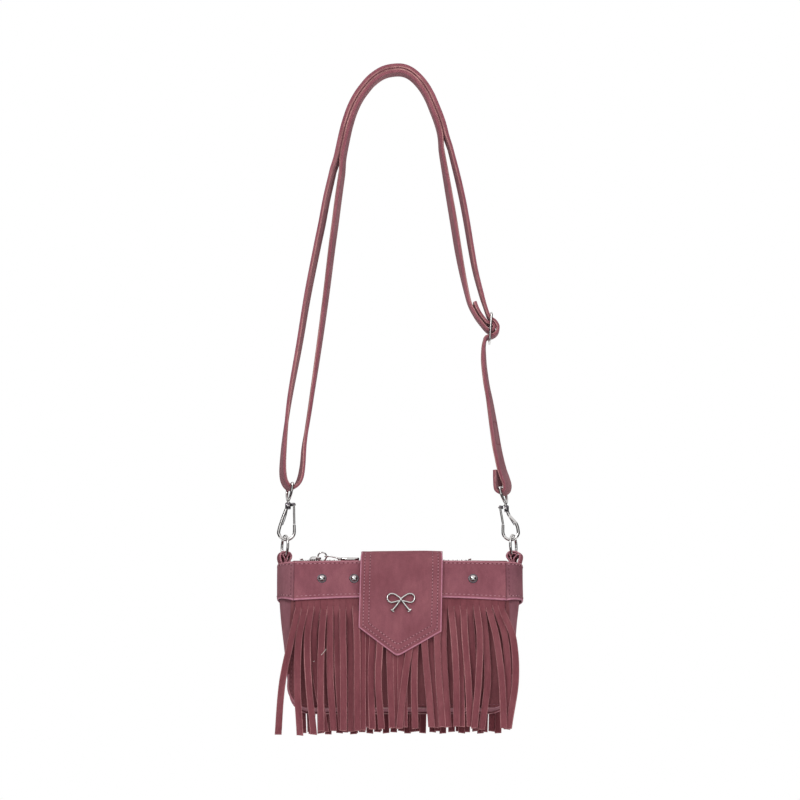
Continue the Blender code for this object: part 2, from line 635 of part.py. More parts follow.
def make_slider():
    clear = ZIP_TAPE / 2 + GAP + SLIDER_PLATE / 2
    size = (SLIDER_LENGTH, SLIDER_WIDTH, SLIDER_PLATE)
    slider = box("zip_slider", (SLIDER_X, 0.0, ZIP_Z + clear), size, "nickel")
    foot_half = ZIP_SLIT + TOOTH_DEPTH * 0.7
    foot_z = tape_height(foot_half) - clear
    lower = box("slider_foot", (SLIDER_X, 0.0, foot_z), (SLIDER_LENGTH, 2 * foot_half, SLIDER_PLATE), "nickel")
    neck = box("slider_neck", (SLIDER_X - SLIDER_LENGTH / 4, 0.0, (ZIP_Z + clear + foot_z) / 2),
               (SLIDER_LENGTH / 3, 2 * (ZIP_SLIT - GAP), ZIP_Z + clear - foot_z), "nickel")
    ear_z = ZIP_Z + clear
    ear = cylinder("slider_ear", (EAR_X, EAR_Y, ear_z), EAR_RADIUS, SLIDER_PLATE * 0.98, "nickel")
    arm_y = (EAR_Y - SLIDER_WIDTH / 2) / 2
    arm = box("slider_arm", (EAR_X, arm_y, ear_z), (2.6 * MM, abs(EAR_Y), SLIDER_PLATE * 0.96), "nickel")
    bridge = tube("slider_bridge", [(SLIDER_X + dx * MM, 0.0, ear_z + dz * MM) for dx, dz in
                                    ((-3.6, -0.2), (-3.4, 1.4), (-2.4, 2.1), (0.6, 2.1), (1.6, 1.4), (1.8, -0.2))],
                  0.55 * MM, "nickel")
    for piece in (lower, neck, arm, ear, bridge):
        boolean(slider, piece, "UNION")
    bore = cylinder("slider_bore", (EAR_X, EAR_Y, ear_z), EAR_BORE, 4 * MM, "nickel")
    boolean(slider, bore, "DIFFERENCE")


def make_pull():
    rise = PULL_Z - (ZIP_Z + ZIP_TAPE / 2 + GAP + SLIDER_PLATE / 2)
    limb = rise / cos(radians(PULL_TILT))
    centre_x = EAR_X + sqrt(PULL_RING_RADIUS ** 2 - limb ** 2)
    centre_y = EAR_Y - rise * tan(radians(PULL_TILT))
    torus("pull_ring", (centre_x, centre_y, PULL_Z), PULL_RING_RADIUS, PULL_WIRE,
          (radians(90.0 + PULL_TILT), 0.0, 0.0), "nickel", 20, 6)
    link_x = centre_x + PULL_RING_RADIUS
    bar = box("pull_bar", ((BAR_START + BAR_END) / 2, BAR_Y, BAR_Z), (BAR_END - BAR_START, BAR_WIDTH, BAR_THICKNESS),
              "nickel", edge=0.3 * MM)
    loop = torus("link_loop", (link_x, centre_y, PULL_Z), LINK_RADIUS, LINK_WIRE, (0.0, 0.0, 0.0), "nickel", 12, 6)
    stem = tube("link_stem", [(link_x + LINK_RADIUS, centre_y, PULL_Z), (link_x + 3.2 * MM, centre_y, PULL_Z),
                              (BAR_START - 3.0 * MM, BAR_Y + 0.4 * MM, BAR_Z + 1.6 * MM), (BAR_START, BAR_Y, BAR_Z),
                              (BAR_START + 1.0 * MM, BAR_Y, BAR_Z)], LINK_WIRE * 1.1, "nickel", False, 1)
    boolean(bar, stem, "UNION")
    boolean(bar, loop, "UNION")


def smooth_route(points, steps):
    """Points along a smooth curve through the route's own points, with the turn as a fourth value."""
    rows = [Vector((x * MM, y * MM, z * MM, radians(turn))) for x, y, z, turn in points]
    out = []
    for i in range(len(rows) - 1):
        before, start, end, after = rows[max(i - 1, 0)], rows[i], rows[i + 1], rows[min(i + 2, len(rows) - 1)]
        for k in range(steps):
            t = k / steps
            out.append(0.5 * (2 * start + (end - before) * t + (2 * before - 5 * start + 4 * end - after) * t * t
                              + (3 * start - before - 3 * end + after) * t ** 3))
    out.append(rows[-1])
    return out


def make_strap():
    route = smooth_route(STRAP_ROUTE, STRAP_STEPS)
    rows = []
    for i, point in enumerate(route):
        along = (route[min(i + 1, len(route) - 1)] - route[max(i - 1, 0)]).to_3d().normalized()
        across = Vector((-sin(point[3]), cos(point[3]), 0.0))
        across = (across - across.dot(along) * along).normalized()
        middle = point.to_3d()
        rows.append([middle + across * STRAP_WIDTH / 2, middle - across * STRAP_WIDTH / 2])
    return sheet("strap", rows, STRAP_THICKNESS, "suede")


def make_adjuster():
    half = STRAP_WIDTH / 2 + 2 * GAP + ADJUSTER_WIRE
    frame = tube("adjuster", [end + Vector((0.0, y, 0.0)) for end, y in
                              ((ADJUSTER_TOP, -half), (ADJUSTER_TOP, half), (ADJUSTER_FOOT, half),
                               (ADJUSTER_FOOT, -half))], ADJUSTER_WIRE, "nickel", True)
    bar = tube("adjuster_bar", [ADJUSTER_BAR + Vector((0.0, -half, 0.0)), ADJUSTER_BAR + Vector((0.0, half, 0.0))],
               ADJUSTER_WIRE * 0.95, "nickel")
    boolean(frame, bar, "UNION")


class Clasp:
    """Where one clasp's pieces lie: side is +1 where its gate is on the right."""

    def __init__(self, prefix, side, eye, turn, collar_x, collar_z, hook_left, hook_right, nose, ring_x):
        self.prefix, self.side, self.turn = prefix, side, radians(turn)
        self.eye = Vector(eye) * MM
        self.collar = Vector((collar_x, 0.0, collar_z)) * MM
        self.left, self.right = hook_left * MM, hook_right * MM
        self.nose = Vector((nose[0], 0.0, nose[1])) * MM
        self.ring_x = ring_x * MM

    def pivot(self):
        return self.collar + Vector((self.side * PIVOT_REACH, 0.0, -PIVOT_DROP))


LEFT_CLASP = Clasp("left", 1.0, (-86.2, 0.0, -338.0), 20.0, -87.6, -352.4, -96.3, -81.4, (-82.8, -369.6), -90.0)
RIGHT_CLASP = Clasp("right", -1.0, (80.2, 0.0, -341.4), -22.0, 82.9, -354.6, 79.3, 93.9, (80.7, -369.6), 88.6)


def make_eye(clasp):
    """A bow whose bar runs through the strap's loop, with a headed shank down into the collar."""
    across = Vector((-sin(clasp.turn), cos(clasp.turn), 0.0))
    foot = clasp.collar + Vector((0.0, 0.0, 1.6 * MM))
    drop = foot - clasp.eye
    points = [clasp.eye - across * EYE_HALF_WIDTH, clasp.eye + across * EYE_HALF_WIDTH]
    for share, width in ((0.45, 1.0), (0.72, 0.75), (0.9, 0.38), (1.0, 0.0)):
        points.append(clasp.eye + drop * share + across * EYE_HALF_WIDTH * width)
    for share, width in ((0.9, 0.38), (0.72, 0.75), (0.45, 1.0)):
        points.append(clasp.eye + drop * share - across * EYE_HALF_WIDTH * width)
    eye = tube(clasp.prefix + "_eye", points, EYE_WIRE, "nickel", True)
    shank = cylinder(clasp.prefix + "_shank", foot + Vector((0.0, 0.0, -(SHANK_DEPTH + 1.6 * MM) / 2)), EYE_SHANK,
                     SHANK_DEPTH + 1.6 * MM, "nickel", sides=12)
    boolean(eye, shank, "UNION")


def hook_route(clasp):
    """The wire from the collar down the closed side, round the bottom and up to the nose."""
    side = clasp.side
    back = clasp.left if side > 0 else clasp.right
    front = clasp.right if side > 0 else clasp.left
    middle_x = (back + front) / 2
    half = abs(front - back) / 2 - HOOK_WIRE
    centre_z = HOOK_BOTTOM + HOOK_WIRE + HOOK_BEND
    start = clasp.collar + Vector((-side * 1.2 * MM, 0.0, -COLLAR_HEIGHT + 1.2 * MM))
    points = [start, start + Vector((-side * 1.6 * MM, 0.0, -4.0 * MM)),
              Vector((middle_x - side * (half - 1.6 * MM), 0.0, centre_z + 6.4 * MM))]
    for i in range(9):
        turn = pi * i / 8
        points.append(Vector((middle_x - side * half * cos(turn), 0.0, centre_z - HOOK_BEND * sin(turn))))
    points.append(clasp.nose + Vector((0.0, 0.0, -GATE_THICKNESS / 2 - GAP)))
    return points


def make_hook(clasp):
    bore_end = -SHANK_DEPTH - GAP
    shoulder = 0.6 * MM
    hook = turned(clasp.prefix + "_hook",
                  [(0.0, bore_end), (COLLAR_BORE, bore_end), (COLLAR_BORE, 0.0), (COLLAR_RADIUS - shoulder, 0.0),
                   (COLLAR_RADIUS, -shoulder), (COLLAR_RADIUS, -COLLAR_HEIGHT * COLLAR_STRAIGHT),
                   (COLLAR_FOOT, -COLLAR_HEIGHT), (0.0, -COLLAR_HEIGHT)], "nickel")
    hook.location = clasp.collar
    boolean(hook, tube(clasp.prefix + "_hook_wire", hook_route(clasp), HOOK_WIRE, "nickel"), "UNION")
    pivot = clasp.pivot()
    reach = PIVOT_REACH + KNUCKLE - COLLAR_RADIUS / 2
    for name, y in (("front", -1.0), ("back", 1.0)):
        middle_x = clasp.collar.x + clasp.side * (COLLAR_RADIUS / 2 + reach / 2)
        cheek_y = y * (GATE_WIDTH / 2 + GAP + CHEEK / 2)
        cheek = box(f"{clasp.prefix}_cheek_{name}", (middle_x, cheek_y, pivot.z), (reach, CHEEK, 2 * KNUCKLE), "nickel")
        boolean(hook, cheek, "UNION")
    bore = cylinder(clasp.prefix + "_pin_bore", pivot, PIN_BORE, 10 * MM, "nickel", (radians(90.0), 0.0, 0.0), 12)
    boolean(hook, bore, "DIFFERENCE")


def make_gate(clasp, sides=12):
    """A flat lever on a pin between the collar's cheeks, shut against the hook's nose."""
    pivot = clasp.pivot()
    along = clasp.nose - pivot
    length, aim = along.length, atan2(along.z, along.x)
    bm = bmesh.new()

    def place(x, z):
        return bm.verts.new((x * cos(aim) - z * sin(aim), 0.0, x * sin(aim) + z * cos(aim)))

    turns = [2 * pi * i / sides for i in range(sides)]
    inner = [place(PIN_BORE * cos(turn), PIN_BORE * sin(turn)) for turn in turns]
    outer = [place(KNUCKLE * cos(turn), KNUCKLE * sin(turn)) for turn in turns]
    for i in range(sides):
        bm.faces.new((inner[i - 1], outer[i - 1], outer[i], inner[i]))
    end_low, end_high = place(length, -GATE_THICKNESS / 2), place(length, GATE_THICKNESS / 2)
    bm.faces.new((outer[-1], end_low, end_high, outer[1], outer[0]))
    gate = solidify(add_mesh(clasp.prefix + "_gate", bm, "nickel"), GATE_WIDTH)
    gate.location = pivot
    reach = GATE_WIDTH + 2 * (GAP + CHEEK) + 2 * GAP
    cylinder(clasp.prefix + "_gate_pin", pivot, PIN_RADIUS, reach, "nickel", (radians(90.0), 0.0, 0.0), 12)


def ring_centre(clasp):
    aside = abs(clasp.ring_x - (clasp.left + clasp.right) / 2) + RING_WIRE
    wire_top = HOOK_BOTTOM + 2 * HOOK_WIRE + aside ** 2 / (2 * HOOK_BEND)
    return Vector((clasp.ring_x, 0.0, wire_top + RING_HANG + RING_WIRE - RING_RADIUS))


def make_ring(clasp):
    torus(clasp.prefix + "_ring", ring_centre(clasp), RING_RADIUS, RING_WIRE,
          (radians(90.0), 0.0, radians(90.0 + clasp.side * RING_TURN)), "nickel", 20, 8)


def make_tab(clasp):
    """A strip folded over the ring's wire, one leg outside the gusset and one inside."""
    side = -clasp.side
    ring = ring_centre(clasp)
    sag = (TAB_WIDTH / 2) ** 2 / (2 * RING_RADIUS)
    arch = ring.z - RING_RADIUS + RING_WIRE + sag + 3 * GAP + TAB_SUEDE / 2
    reach = TOP_HALF_DEPTH - SUEDE - GAP
    middle_bulge = POUCH_HALF_WIDTH + SIDE_BULGE
    edge_bulge = POUCH_HALF_WIDTH + SIDE_BULGE * (1 - (TAB_WIDTH / 2 / reach) ** 2)
    outer = middle_bulge + SUEDE / 2 + GAP + TAB_SUEDE / 2
    inner = edge_bulge - SUEDE / 2 - 2 * GAP - TAB_SUEDE / 2
    middle = abs(ring.x)
    foot = POUCH_TOP - TAB_TUCK
    profile = [(outer, foot), (outer + 0.2 * MM, POUCH_TOP - 1.0 * MM), (outer + 1.8 * MM, arch - 4.6 * MM),
               (outer + 1.4 * MM, arch - 1.8 * MM), (middle + 3.2 * MM, arch - 0.3 * MM), (middle + 1.6 * MM, arch),
               (middle - 1.8 * MM, arch), (middle - 3.6 * MM, arch - 1.2 * MM), (middle - 4.2 * MM, arch - 3.6 * MM),
               (middle - 3.2 * MM, arch - 7.0 * MM), (inner - 0.6 * MM, POUCH_TOP - 2.0 * MM), (inner - 0.6 * MM, foot)]
    rows = [[(side * x, y * TAB_WIDTH / 2, z) for y in (-1.0, 1.0)] for x, z in profile]
    sheet(clasp.prefix + "_tab", rows, TAB_SUEDE, "suede")


def turn_about(name, point, pieces):
    """An empty on a joint's axis, carrying the pieces that turn about it."""
    axis = bpy.data.objects.new(name, None)
    axis.location = point
    PARTS.objects.link(axis)
    bpy.context.view_layer.update()
    for piece in pieces:
        child = bpy.data.objects[piece]
        child.parent = axis
        child.matrix_parent_inverse = axis.matrix_world.inverted()


def place_axes():
    turn_about("flap_axis", (FLAP_CENTRE, HINGE_Y, HINGE_Z), ("flap", "bow", "snap_stud"))
    ring = bpy.data.objects["pull_ring"].location
    turn_about("pull_ring_axis", (EAR_X, EAR_Y, ring.z), ("pull_ring",))
    turn_about("pull_bar_axis", (ring.x + PULL_RING_RADIUS, ring.y, ring.z), ("pull_bar",))
    for clasp in (LEFT_CLASP, RIGHT_CLASP):
        turn_about(clasp.prefix + "_hook_axis", clasp.collar, (clasp.prefix + "_hook", clasp.prefix + "_gate_pin"))
        low_wire = ring_centre(clasp) - Vector((0.0, 0.0, RING_RADIUS))
        turn_about(clasp.prefix + "_ring_axis", low_wire, (clasp.prefix + "_ring",))


make_panel("front_panel", -1.0)
make_panel("back_panel", 1.0)
make_gusset("gusset")
make_band("front_band", -1.0)
make_band("back_band", 1.0)
make_side_band("left_side_band", -1.0)
make_side_band("right_side_band", 1.0)
make_fringe("front_fringe", -1.0, FRONT_STRIPS, FRINGE_END)
make_fringe("back_fringe", 1.0, BACK_STRIPS, BACK_FRINGE_END)
make_flap()
make_flap_tail()
make_snap()
make_bow()
make_rivets()
make_zip_tape("zip_tape_front", -1.0)
make_zip_tape("zip_tape_back", 1.0)
make_stops()
make_slider()
make_pull()
make_strap()
make_adjuster()
for each in (LEFT_CLASP, RIGHT_CLASP):
    make_eye(each)
    make_hook(each)
    make_gate(each)
    make_ring(each)
    make_tab(each)
place_axes()
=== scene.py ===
# Visual model of the fringed suede crossbody bag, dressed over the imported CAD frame.
from math import cos, exp, pi, radians, sin, sqrt, tan

import bpy
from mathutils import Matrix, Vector, noise


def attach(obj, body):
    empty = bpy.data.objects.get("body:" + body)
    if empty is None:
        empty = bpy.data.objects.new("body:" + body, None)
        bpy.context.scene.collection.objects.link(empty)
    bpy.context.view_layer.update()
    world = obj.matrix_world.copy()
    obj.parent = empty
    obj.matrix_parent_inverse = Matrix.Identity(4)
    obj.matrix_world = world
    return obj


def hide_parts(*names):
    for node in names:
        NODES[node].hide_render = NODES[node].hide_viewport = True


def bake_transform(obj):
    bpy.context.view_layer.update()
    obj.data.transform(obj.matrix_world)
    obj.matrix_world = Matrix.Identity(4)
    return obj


MM = 0.001
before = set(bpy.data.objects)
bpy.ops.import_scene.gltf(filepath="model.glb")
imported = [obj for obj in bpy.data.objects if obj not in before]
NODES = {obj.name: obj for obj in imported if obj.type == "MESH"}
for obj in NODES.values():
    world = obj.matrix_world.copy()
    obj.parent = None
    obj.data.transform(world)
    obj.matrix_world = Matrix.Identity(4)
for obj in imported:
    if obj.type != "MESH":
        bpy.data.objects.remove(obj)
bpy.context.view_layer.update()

# Pouch, bands and fringe, as in the source
GAP = 0.3 * MM
POUCH_TOP = -401.0 * MM
POUCH_BOTTOM = -516.0 * MM
POUCH_HALF_WIDTH = 81.0 * MM
POUCH_FLARE = 4.0 * MM
TOP_HALF_DEPTH = 12.0 * MM
BOTTOM_HALF_DEPTH = 26.0 * MM
CORNER_RADIUS = 15.0 * MM
SEAM_EDGE = 2.2 * MM
SIDE_BULGE = 10.5 * MM
SUEDE = 1.2 * MM
BAND_HEIGHT = 30.0 * MM
BAND_HALF_LENGTH = 82.0 * MM
BAND_SUEDE = 1.3 * MM
SIDE_BAND_BULGE = 13.0 * MM
FRINGE_SUEDE = 1.1 * MM
FRINGE_ROOT = -439.0 * MM
FRINGE_END = -539.0 * MM
BACK_FRINGE_END = -532.0 * MM
STRIP_COUNT = 33
FRINGE_HALF_LENGTH = 81.0 * MM
LAYER_STEP = 1.5 * MM
FLAP_SUEDE = 1.3 * MM
FLAP_STAND_OFF = 6.6 * MM
FLAP_HALF_WIDTH = 32.0 * MM
FLAP_CENTRE = 1.5 * MM
FLAP_LEAN = 0.022
FLAP_SHOULDER = -457.0 * MM
FLAP_TIP = -478.6 * MM
HINGE_Y = 17.5 * MM
HINGE_Z = -389.0 * MM
TAIL_END = -425.0 * MM
SNAP_X = 0.8 * MM
BOW_Z = -432.6 * MM
ZIP_Z = -398.9 * MM
STITCH_PITCH = 3.4 * MM
FLAP_PITCH = 2.7 * MM


# Materials

def hue(*srgb):
    """Linear colour from 0 to 255 display values."""
    out = []
    for value in srgb:
        share = value / 255.0
        out.append(share / 12.92 if share <= 0.04045 else ((share + 0.055) / 1.055) ** 2.4)
    return (*out, 1.0)


class Shade:
    """A node material with short calls for the nodes it needs."""

    def __init__(self, name, rough=0.8, metal=0.0, sheen=0.0, sheen_tint=None, specular=0.5, sheen_rough=0.5):
        self.material = bpy.data.materials.new(name)
        self.material.use_nodes = True
        self.tree = self.material.node_tree
        self.bsdf = self.tree.nodes["Principled BSDF"]
        self.bsdf.inputs["Roughness"].default_value = rough
        self.bsdf.inputs["Metallic"].default_value = metal
        self.bsdf.inputs["Sheen Weight"].default_value = sheen
        self.bsdf.inputs["Sheen Roughness"].default_value = sheen_rough
        self.bsdf.inputs["Specular IOR Level"].default_value = specular
        if sheen_tint:
            self.bsdf.inputs["Sheen Tint"].default_value = sheen_tint
        self.coords = self.tree.nodes.new("ShaderNodeTexCoord")

    def node(self, kind, **values):
        item = self.tree.nodes.new(kind)
        for key, value in values.items():
            if hasattr(item, key):
                setattr(item, key, value)
            else:
                item.inputs[key.replace("_", " ").title()].default_value = value
        return item

    def link(self, source, target):
        self.tree.links.new(source, target)

    def noise(self, scale, detail=3.0, stretch=(1.0, 1.0, 1.0), rough=0.55, warp=0.0):
        mapping = self.node("ShaderNodeMapping")
        mapping.inputs["Scale"].default_value = stretch
        self.link(self.coords.outputs["Object"], mapping.inputs["Vector"])
        item = self.node("ShaderNodeTexNoise")
        item.inputs["Scale"].default_value = scale
        item.inputs["Detail"].default_value = detail
        item.inputs["Roughness"].default_value = rough
        item.inputs["Distortion"].default_value = warp
        self.link(mapping.outputs["Vector"], item.inputs["Vector"])
        return item.outputs["Fac"]

    def ramp(self, source, stops):
        item = self.node("ShaderNodeValToRGB")
        elements = item.color_ramp.elements
        while len(elements) < len(stops):
            elements.new(0.5)
        for element, (place, colour) in zip(elements, stops):
            element.position = place
            element.color = colour
        self.link(source, item.inputs["Fac"])
        return item.outputs["Color"]

    def mix(self, kind, amount, a, b):
        item = self.tree.nodes.new("ShaderNodeMix")
        item.data_type = "RGBA"
        item.blend_type = kind
        for value, target in ((amount, item.inputs[0]), (a, item.inputs[6]), (b, item.inputs[7])):
            if isinstance(value, (int, float, tuple)):
                target.default_value = value
            else:
                self.link(value, target)
        return item.outputs[2]

    def math(self, kind, a, b):
        item = self.tree.nodes.new("ShaderNodeMath")
        item.operation = kind
        for value, target in ((a, item.inputs[0]), (b, item.inputs[1])):
            if isinstance(value, (int, float)):
                target.default_value = value
            else:
                self.link(value, target)
        return item.outputs[0]

    def colour(self, source):
        self.link(source, self.bsdf.inputs["Base Color"])

    def bump(self, source, distance, strength=1.0):
        item = self.tree.nodes.new("ShaderNodeBump")
        item.inputs["Distance"].default_value = distance
        item.inputs["Strength"].default_value = strength
        self.link(source, item.inputs["Height"])
        self.link(item.outputs["Normal"], self.bsdf.inputs["Normal"])


def make_suede(name, dark, middle, light, nap=(1.0, 1.0, 0.45), blotch=38.0, sheen=0.35, depth=0.16,
               contrast=0.3):
    """Brushed suede: soft blotches where the nap lies differently, and a fine fibrous grain."""
    shade = Shade(name, 0.92, sheen=sheen, sheen_tint=light, specular=0.18, sheen_rough=0.45)
    blotches = shade.noise(blotch, 4.0, nap, 0.6, 0.6)
    fibres = shade.noise(1500.0, 4.0, nap, 0.7)
    soft = shade.noise(260.0, 3.0, (1.0, 1.0, 0.35), 0.6)
    tone = shade.ramp(blotches, ((0.30, dark), (0.5, middle), (0.72, light)))
    grain = shade.ramp(fibres, ((0.28, (0.62, 0.58, 0.6, 1.0)), (0.72, (1.3, 1.3, 1.28, 1.0))))
    tone = shade.mix("MULTIPLY", contrast, tone, grain)
    patches = shade.ramp(soft, ((0.3, (0.84, 0.82, 0.83, 1.0)), (0.7, (1.12, 1.12, 1.12, 1.0))))
    shade.colour(shade.mix("MULTIPLY", 0.6, tone, patches))
    height = shade.math("ADD", shade.math("MULTIPLY", fibres, 0.7), shade.math("MULTIPLY", soft, 0.6))
    shade.bump(height, depth * MM)
    return shade.material


def make_paint(name, colour, glow):
    """Edge paint laid on by hand, slightly uneven."""
    shade = Shade(name, 0.5, specular=0.35)
    uneven = shade.noise(420.0, 3.0)
    shade.colour(shade.ramp(uneven, ((0.3, colour), (0.7, glow))))
    shade.bump(uneven, 0.12 * MM)
    return shade.material


def make_cut_edge(name, colour, glow):
    """The fuzzy cut edge of a strip, with fibres that catch the light."""
    shade = Shade(name, 1.0, sheen=0.6, sheen_tint=glow, specular=0.1)
    fuzz = shade.noise(1900.0, 4.0, (1.0, 1.0, 0.3), 0.75)
    patchy = shade.noise(90.0, 3.0, (1.0, 1.0, 0.25), 0.6)
    tone = shade.ramp(fuzz, ((0.32, colour), (0.66, glow)))
    base = shade.ramp(patchy, ((0.4, (0.6, 0.54, 0.56, 1.0)), (0.66, (1.08, 1.06, 1.06, 1.0))))
    shade.colour(shade.mix("MULTIPLY", 1.0, tone, base))
    shade.bump(fuzz, 0.3 * MM)
    return shade.material


def make_metal(name, bright, dull, rough=0.14):
    """Polished nickel plate with faint handling marks."""
    shade = Shade(name, rough, 1.0)
    marks = shade.noise(240.0, 3.0)
    shade.colour(shade.ramp(shade.noise(160.0, 2.0), ((0.35, dull), (0.65, bright))))
    shade.link(shade.ramp(marks, ((0.35, (rough * 0.85,) * 3 + (1.0,)), (0.75, (rough * 1.2,) * 3 + (1.0,)))),
               shade.bsdf.inputs["Roughness"])
    shade.bump(marks, 0.0006 * MM)
    return shade.material


def make_thread(name, colour, glow):
    shade = Shade(name, 0.7, sheen=0.2, sheen_tint=glow)
    twist = shade.noise(2600.0, 2.0)
    shade.colour(shade.ramp(twist, ((0.35, colour), (0.65, glow))))
    shade.bump(twist, 0.08 * MM)
    return shade.material


def make_weave(name, dark, light):
    """The zip tape's fine ribbed weave."""
    shade = Shade(name, 0.85, sheen=0.15, sheen_tint=light)
    wave = shade.node("ShaderNodeTexWave")
    wave.inputs["Scale"].default_value = 420.0
    wave.inputs["Distortion"].default_value = 1.2
    wave.inputs["Detail"].default_value = 2.0
    shade.link(shade.coords.outputs["Object"], wave.inputs["Vector"])
    both = shade.math("ADD", wave.outputs["Fac"], shade.noise(1300.0, 3.0))
    shade.colour(shade.ramp(shade.math("MULTIPLY", both, 0.5), ((0.3, dark), (0.7, light))))
    shade.bump(both, 0.12 * MM)
    return shade.material


ROSE = make_suede("suede_rose", hue(131, 77, 87), hue(140, 85, 95), hue(150, 94, 102), (1.0, 1.0, 0.75))
PANEL_ROSE = make_suede("suede_panel", hue(104, 58, 63), hue(115, 66, 71), hue(126, 76, 80), (1.0, 1.0, 0.75))
FLAP_ROSE = make_suede("suede_flap", hue(129, 75, 84), hue(137, 82, 91), hue(146, 90, 98), (1.0, 1.0, 0.75))
# A lighter, greyer copy of the rose suede for the gusset and the side bands: painted sheen of the nap where
# these sides are seen at a grazing angle.
GUSSET_SHEEN_ROSE = make_suede("suede_gusset_painted_sheen", hue(124, 78, 88), hue(138, 90, 99), hue(152, 104, 112), sheen=0.5)
FRINGE_ROSE = make_suede("suede_fringe", hue(111, 59, 66), hue(123, 68, 75), hue(135, 80, 86),
                         nap=(1.0, 1.0, 0.25), sheen=0.25)
# A darker copy of the fringe suede for the strips behind the bag: painted shade.
BACK_SHADE_ROSE = make_suede("suede_back_fringe_painted_shade", hue(96, 50, 56), hue(110, 58, 64), hue(122, 68, 74),
                       nap=(1.0, 1.0, 0.25), sheen=0.15)
LINING = make_suede("suede_lining", hue(84, 44, 52), hue(96, 52, 60), hue(110, 62, 70), sheen=0.1)
STRAP_FACE = make_suede("suede_strap", hue(134, 92, 99), hue(146, 103, 109), hue(158, 116, 120), sheen=0.4)
STRAP_LAYER = make_suede("strap_layer_edge", hue(134, 76, 87), hue(147, 88, 98), hue(158, 100, 108),
                         sheen=0.2)
STRAP_CORE = make_cut_edge("strap_core_edge", hue(172, 122, 122), hue(196, 148, 144))
PAINT = make_paint("edge_paint", hue(172, 108, 128), hue(190, 128, 146))
TURNED = make_paint("turned_edge", hue(160, 100, 112), hue(176, 118, 128))
RAW = make_cut_edge("raw_edge", hue(168, 120, 124), hue(200, 160, 160))
FUZZ = make_cut_edge("cut_edge", hue(144, 86, 92), hue(196, 142, 144))
NICKEL = make_metal("polished_nickel", (0.70, 0.68, 0.67, 1.0), (0.58, 0.56, 0.55, 1.0), 0.1)
# Nearly black nickel for the collars, pins, leaf springs and rivet seats: a painted dark reflection of
# polished metal.
NICKEL_DARK_REFLECTION = make_metal("nickel_painted_dark_reflection", (0.20, 0.18, 0.20, 1.0), (0.10, 0.09, 0.10, 1.0), 0.16)
THREAD = make_thread("thread", hue(166, 112, 124), hue(198, 150, 160))
# The needle holes' dark colour is painted shade inside them.
HOLE_SHADE = make_thread("needle_hole_painted_shade", hue(78, 34, 44), hue(96, 46, 56))
SEAM_THREAD = make_thread("seam_thread", hue(112, 60, 70), hue(134, 78, 88))
TAPE = make_weave("zip_tape", hue(132, 66, 76), hue(168, 96, 104))
LINT = make_thread("lint", hue(226, 214, 208), hue(244, 236, 232))


# Mesh helpers

def finish_piece(item, body, nodes=()):
    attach(item, body)
    if nodes:
        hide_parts(*nodes)
    return item


def lay_flat(grids):
    """Works out a sheet's flat width, length and area from its parts laid side by side; nothing uses them."""
    width = length = area = 0.0
    for grid in grids:
        width += max(sum((b - a).length for a, b in zip(row, row[1:])) for row in grid)
        length = max([length] + [sum((b - a).length for a, b in zip(line, line[1:])) for line in zip(*grid)])
        for top, low in zip(grid, grid[1:]):
            for j in range(len(top) - 1):
                area += (low[j + 1] - top[j]).cross(low[j] - top[j + 1]).length / 2


def mesh_object(name, verts, faces, materials, indices=None, angle=42.0):
    mesh = bpy.data.meshes.new(name)
    mesh.from_pydata([tuple(v) for v in verts], [], faces)
    mesh.validate()
    for material in materials:
        mesh.materials.append(material)
    if indices and len(indices) == len(mesh.polygons):
        mesh.polygons.foreach_set("material_index", indices)
    mesh.shade_smooth()
    mesh.set_sharp_from_angle(angle=radians(angle))
    mesh.update()
    item = bpy.data.objects.new(name, mesh)
    bpy.context.scene.collection.objects.link(item)
    return item


class Mesh:
    """Collects several closed shapes as one mesh."""

    def __init__(self):
        self.verts, self.faces, self.indices = [], [], []

    def add(self, verts, faces, index=0):
        base = len(self.verts)
        self.verts += verts
        self.faces += [tuple(base + i for i in face) for face in faces]
        self.indices += index if isinstance(index, list) else [index] * len(faces)

    def make(self, name, materials, angle=42.0):
        return mesh_object(name, self.verts, self.faces, materials, self.indices, angle)


def grid_normals(grid):
    rows, cols = len(grid), len(grid[0])
    out = []
    for i in range(rows):
        line = []
        for j in range(cols):
            along = grid[i][min(j + 1, cols - 1)] - grid[i][max(j - 1, 0)]
            down = grid[min(i + 1, rows - 1)][j] - grid[max(i - 1, 0)][j]
            normal = along.cross(down)
            line.append(normal.normalized() if normal.length > 1e-12 else Vector((0.0, 1.0, 0.0)))
        out.append(line)
    return out


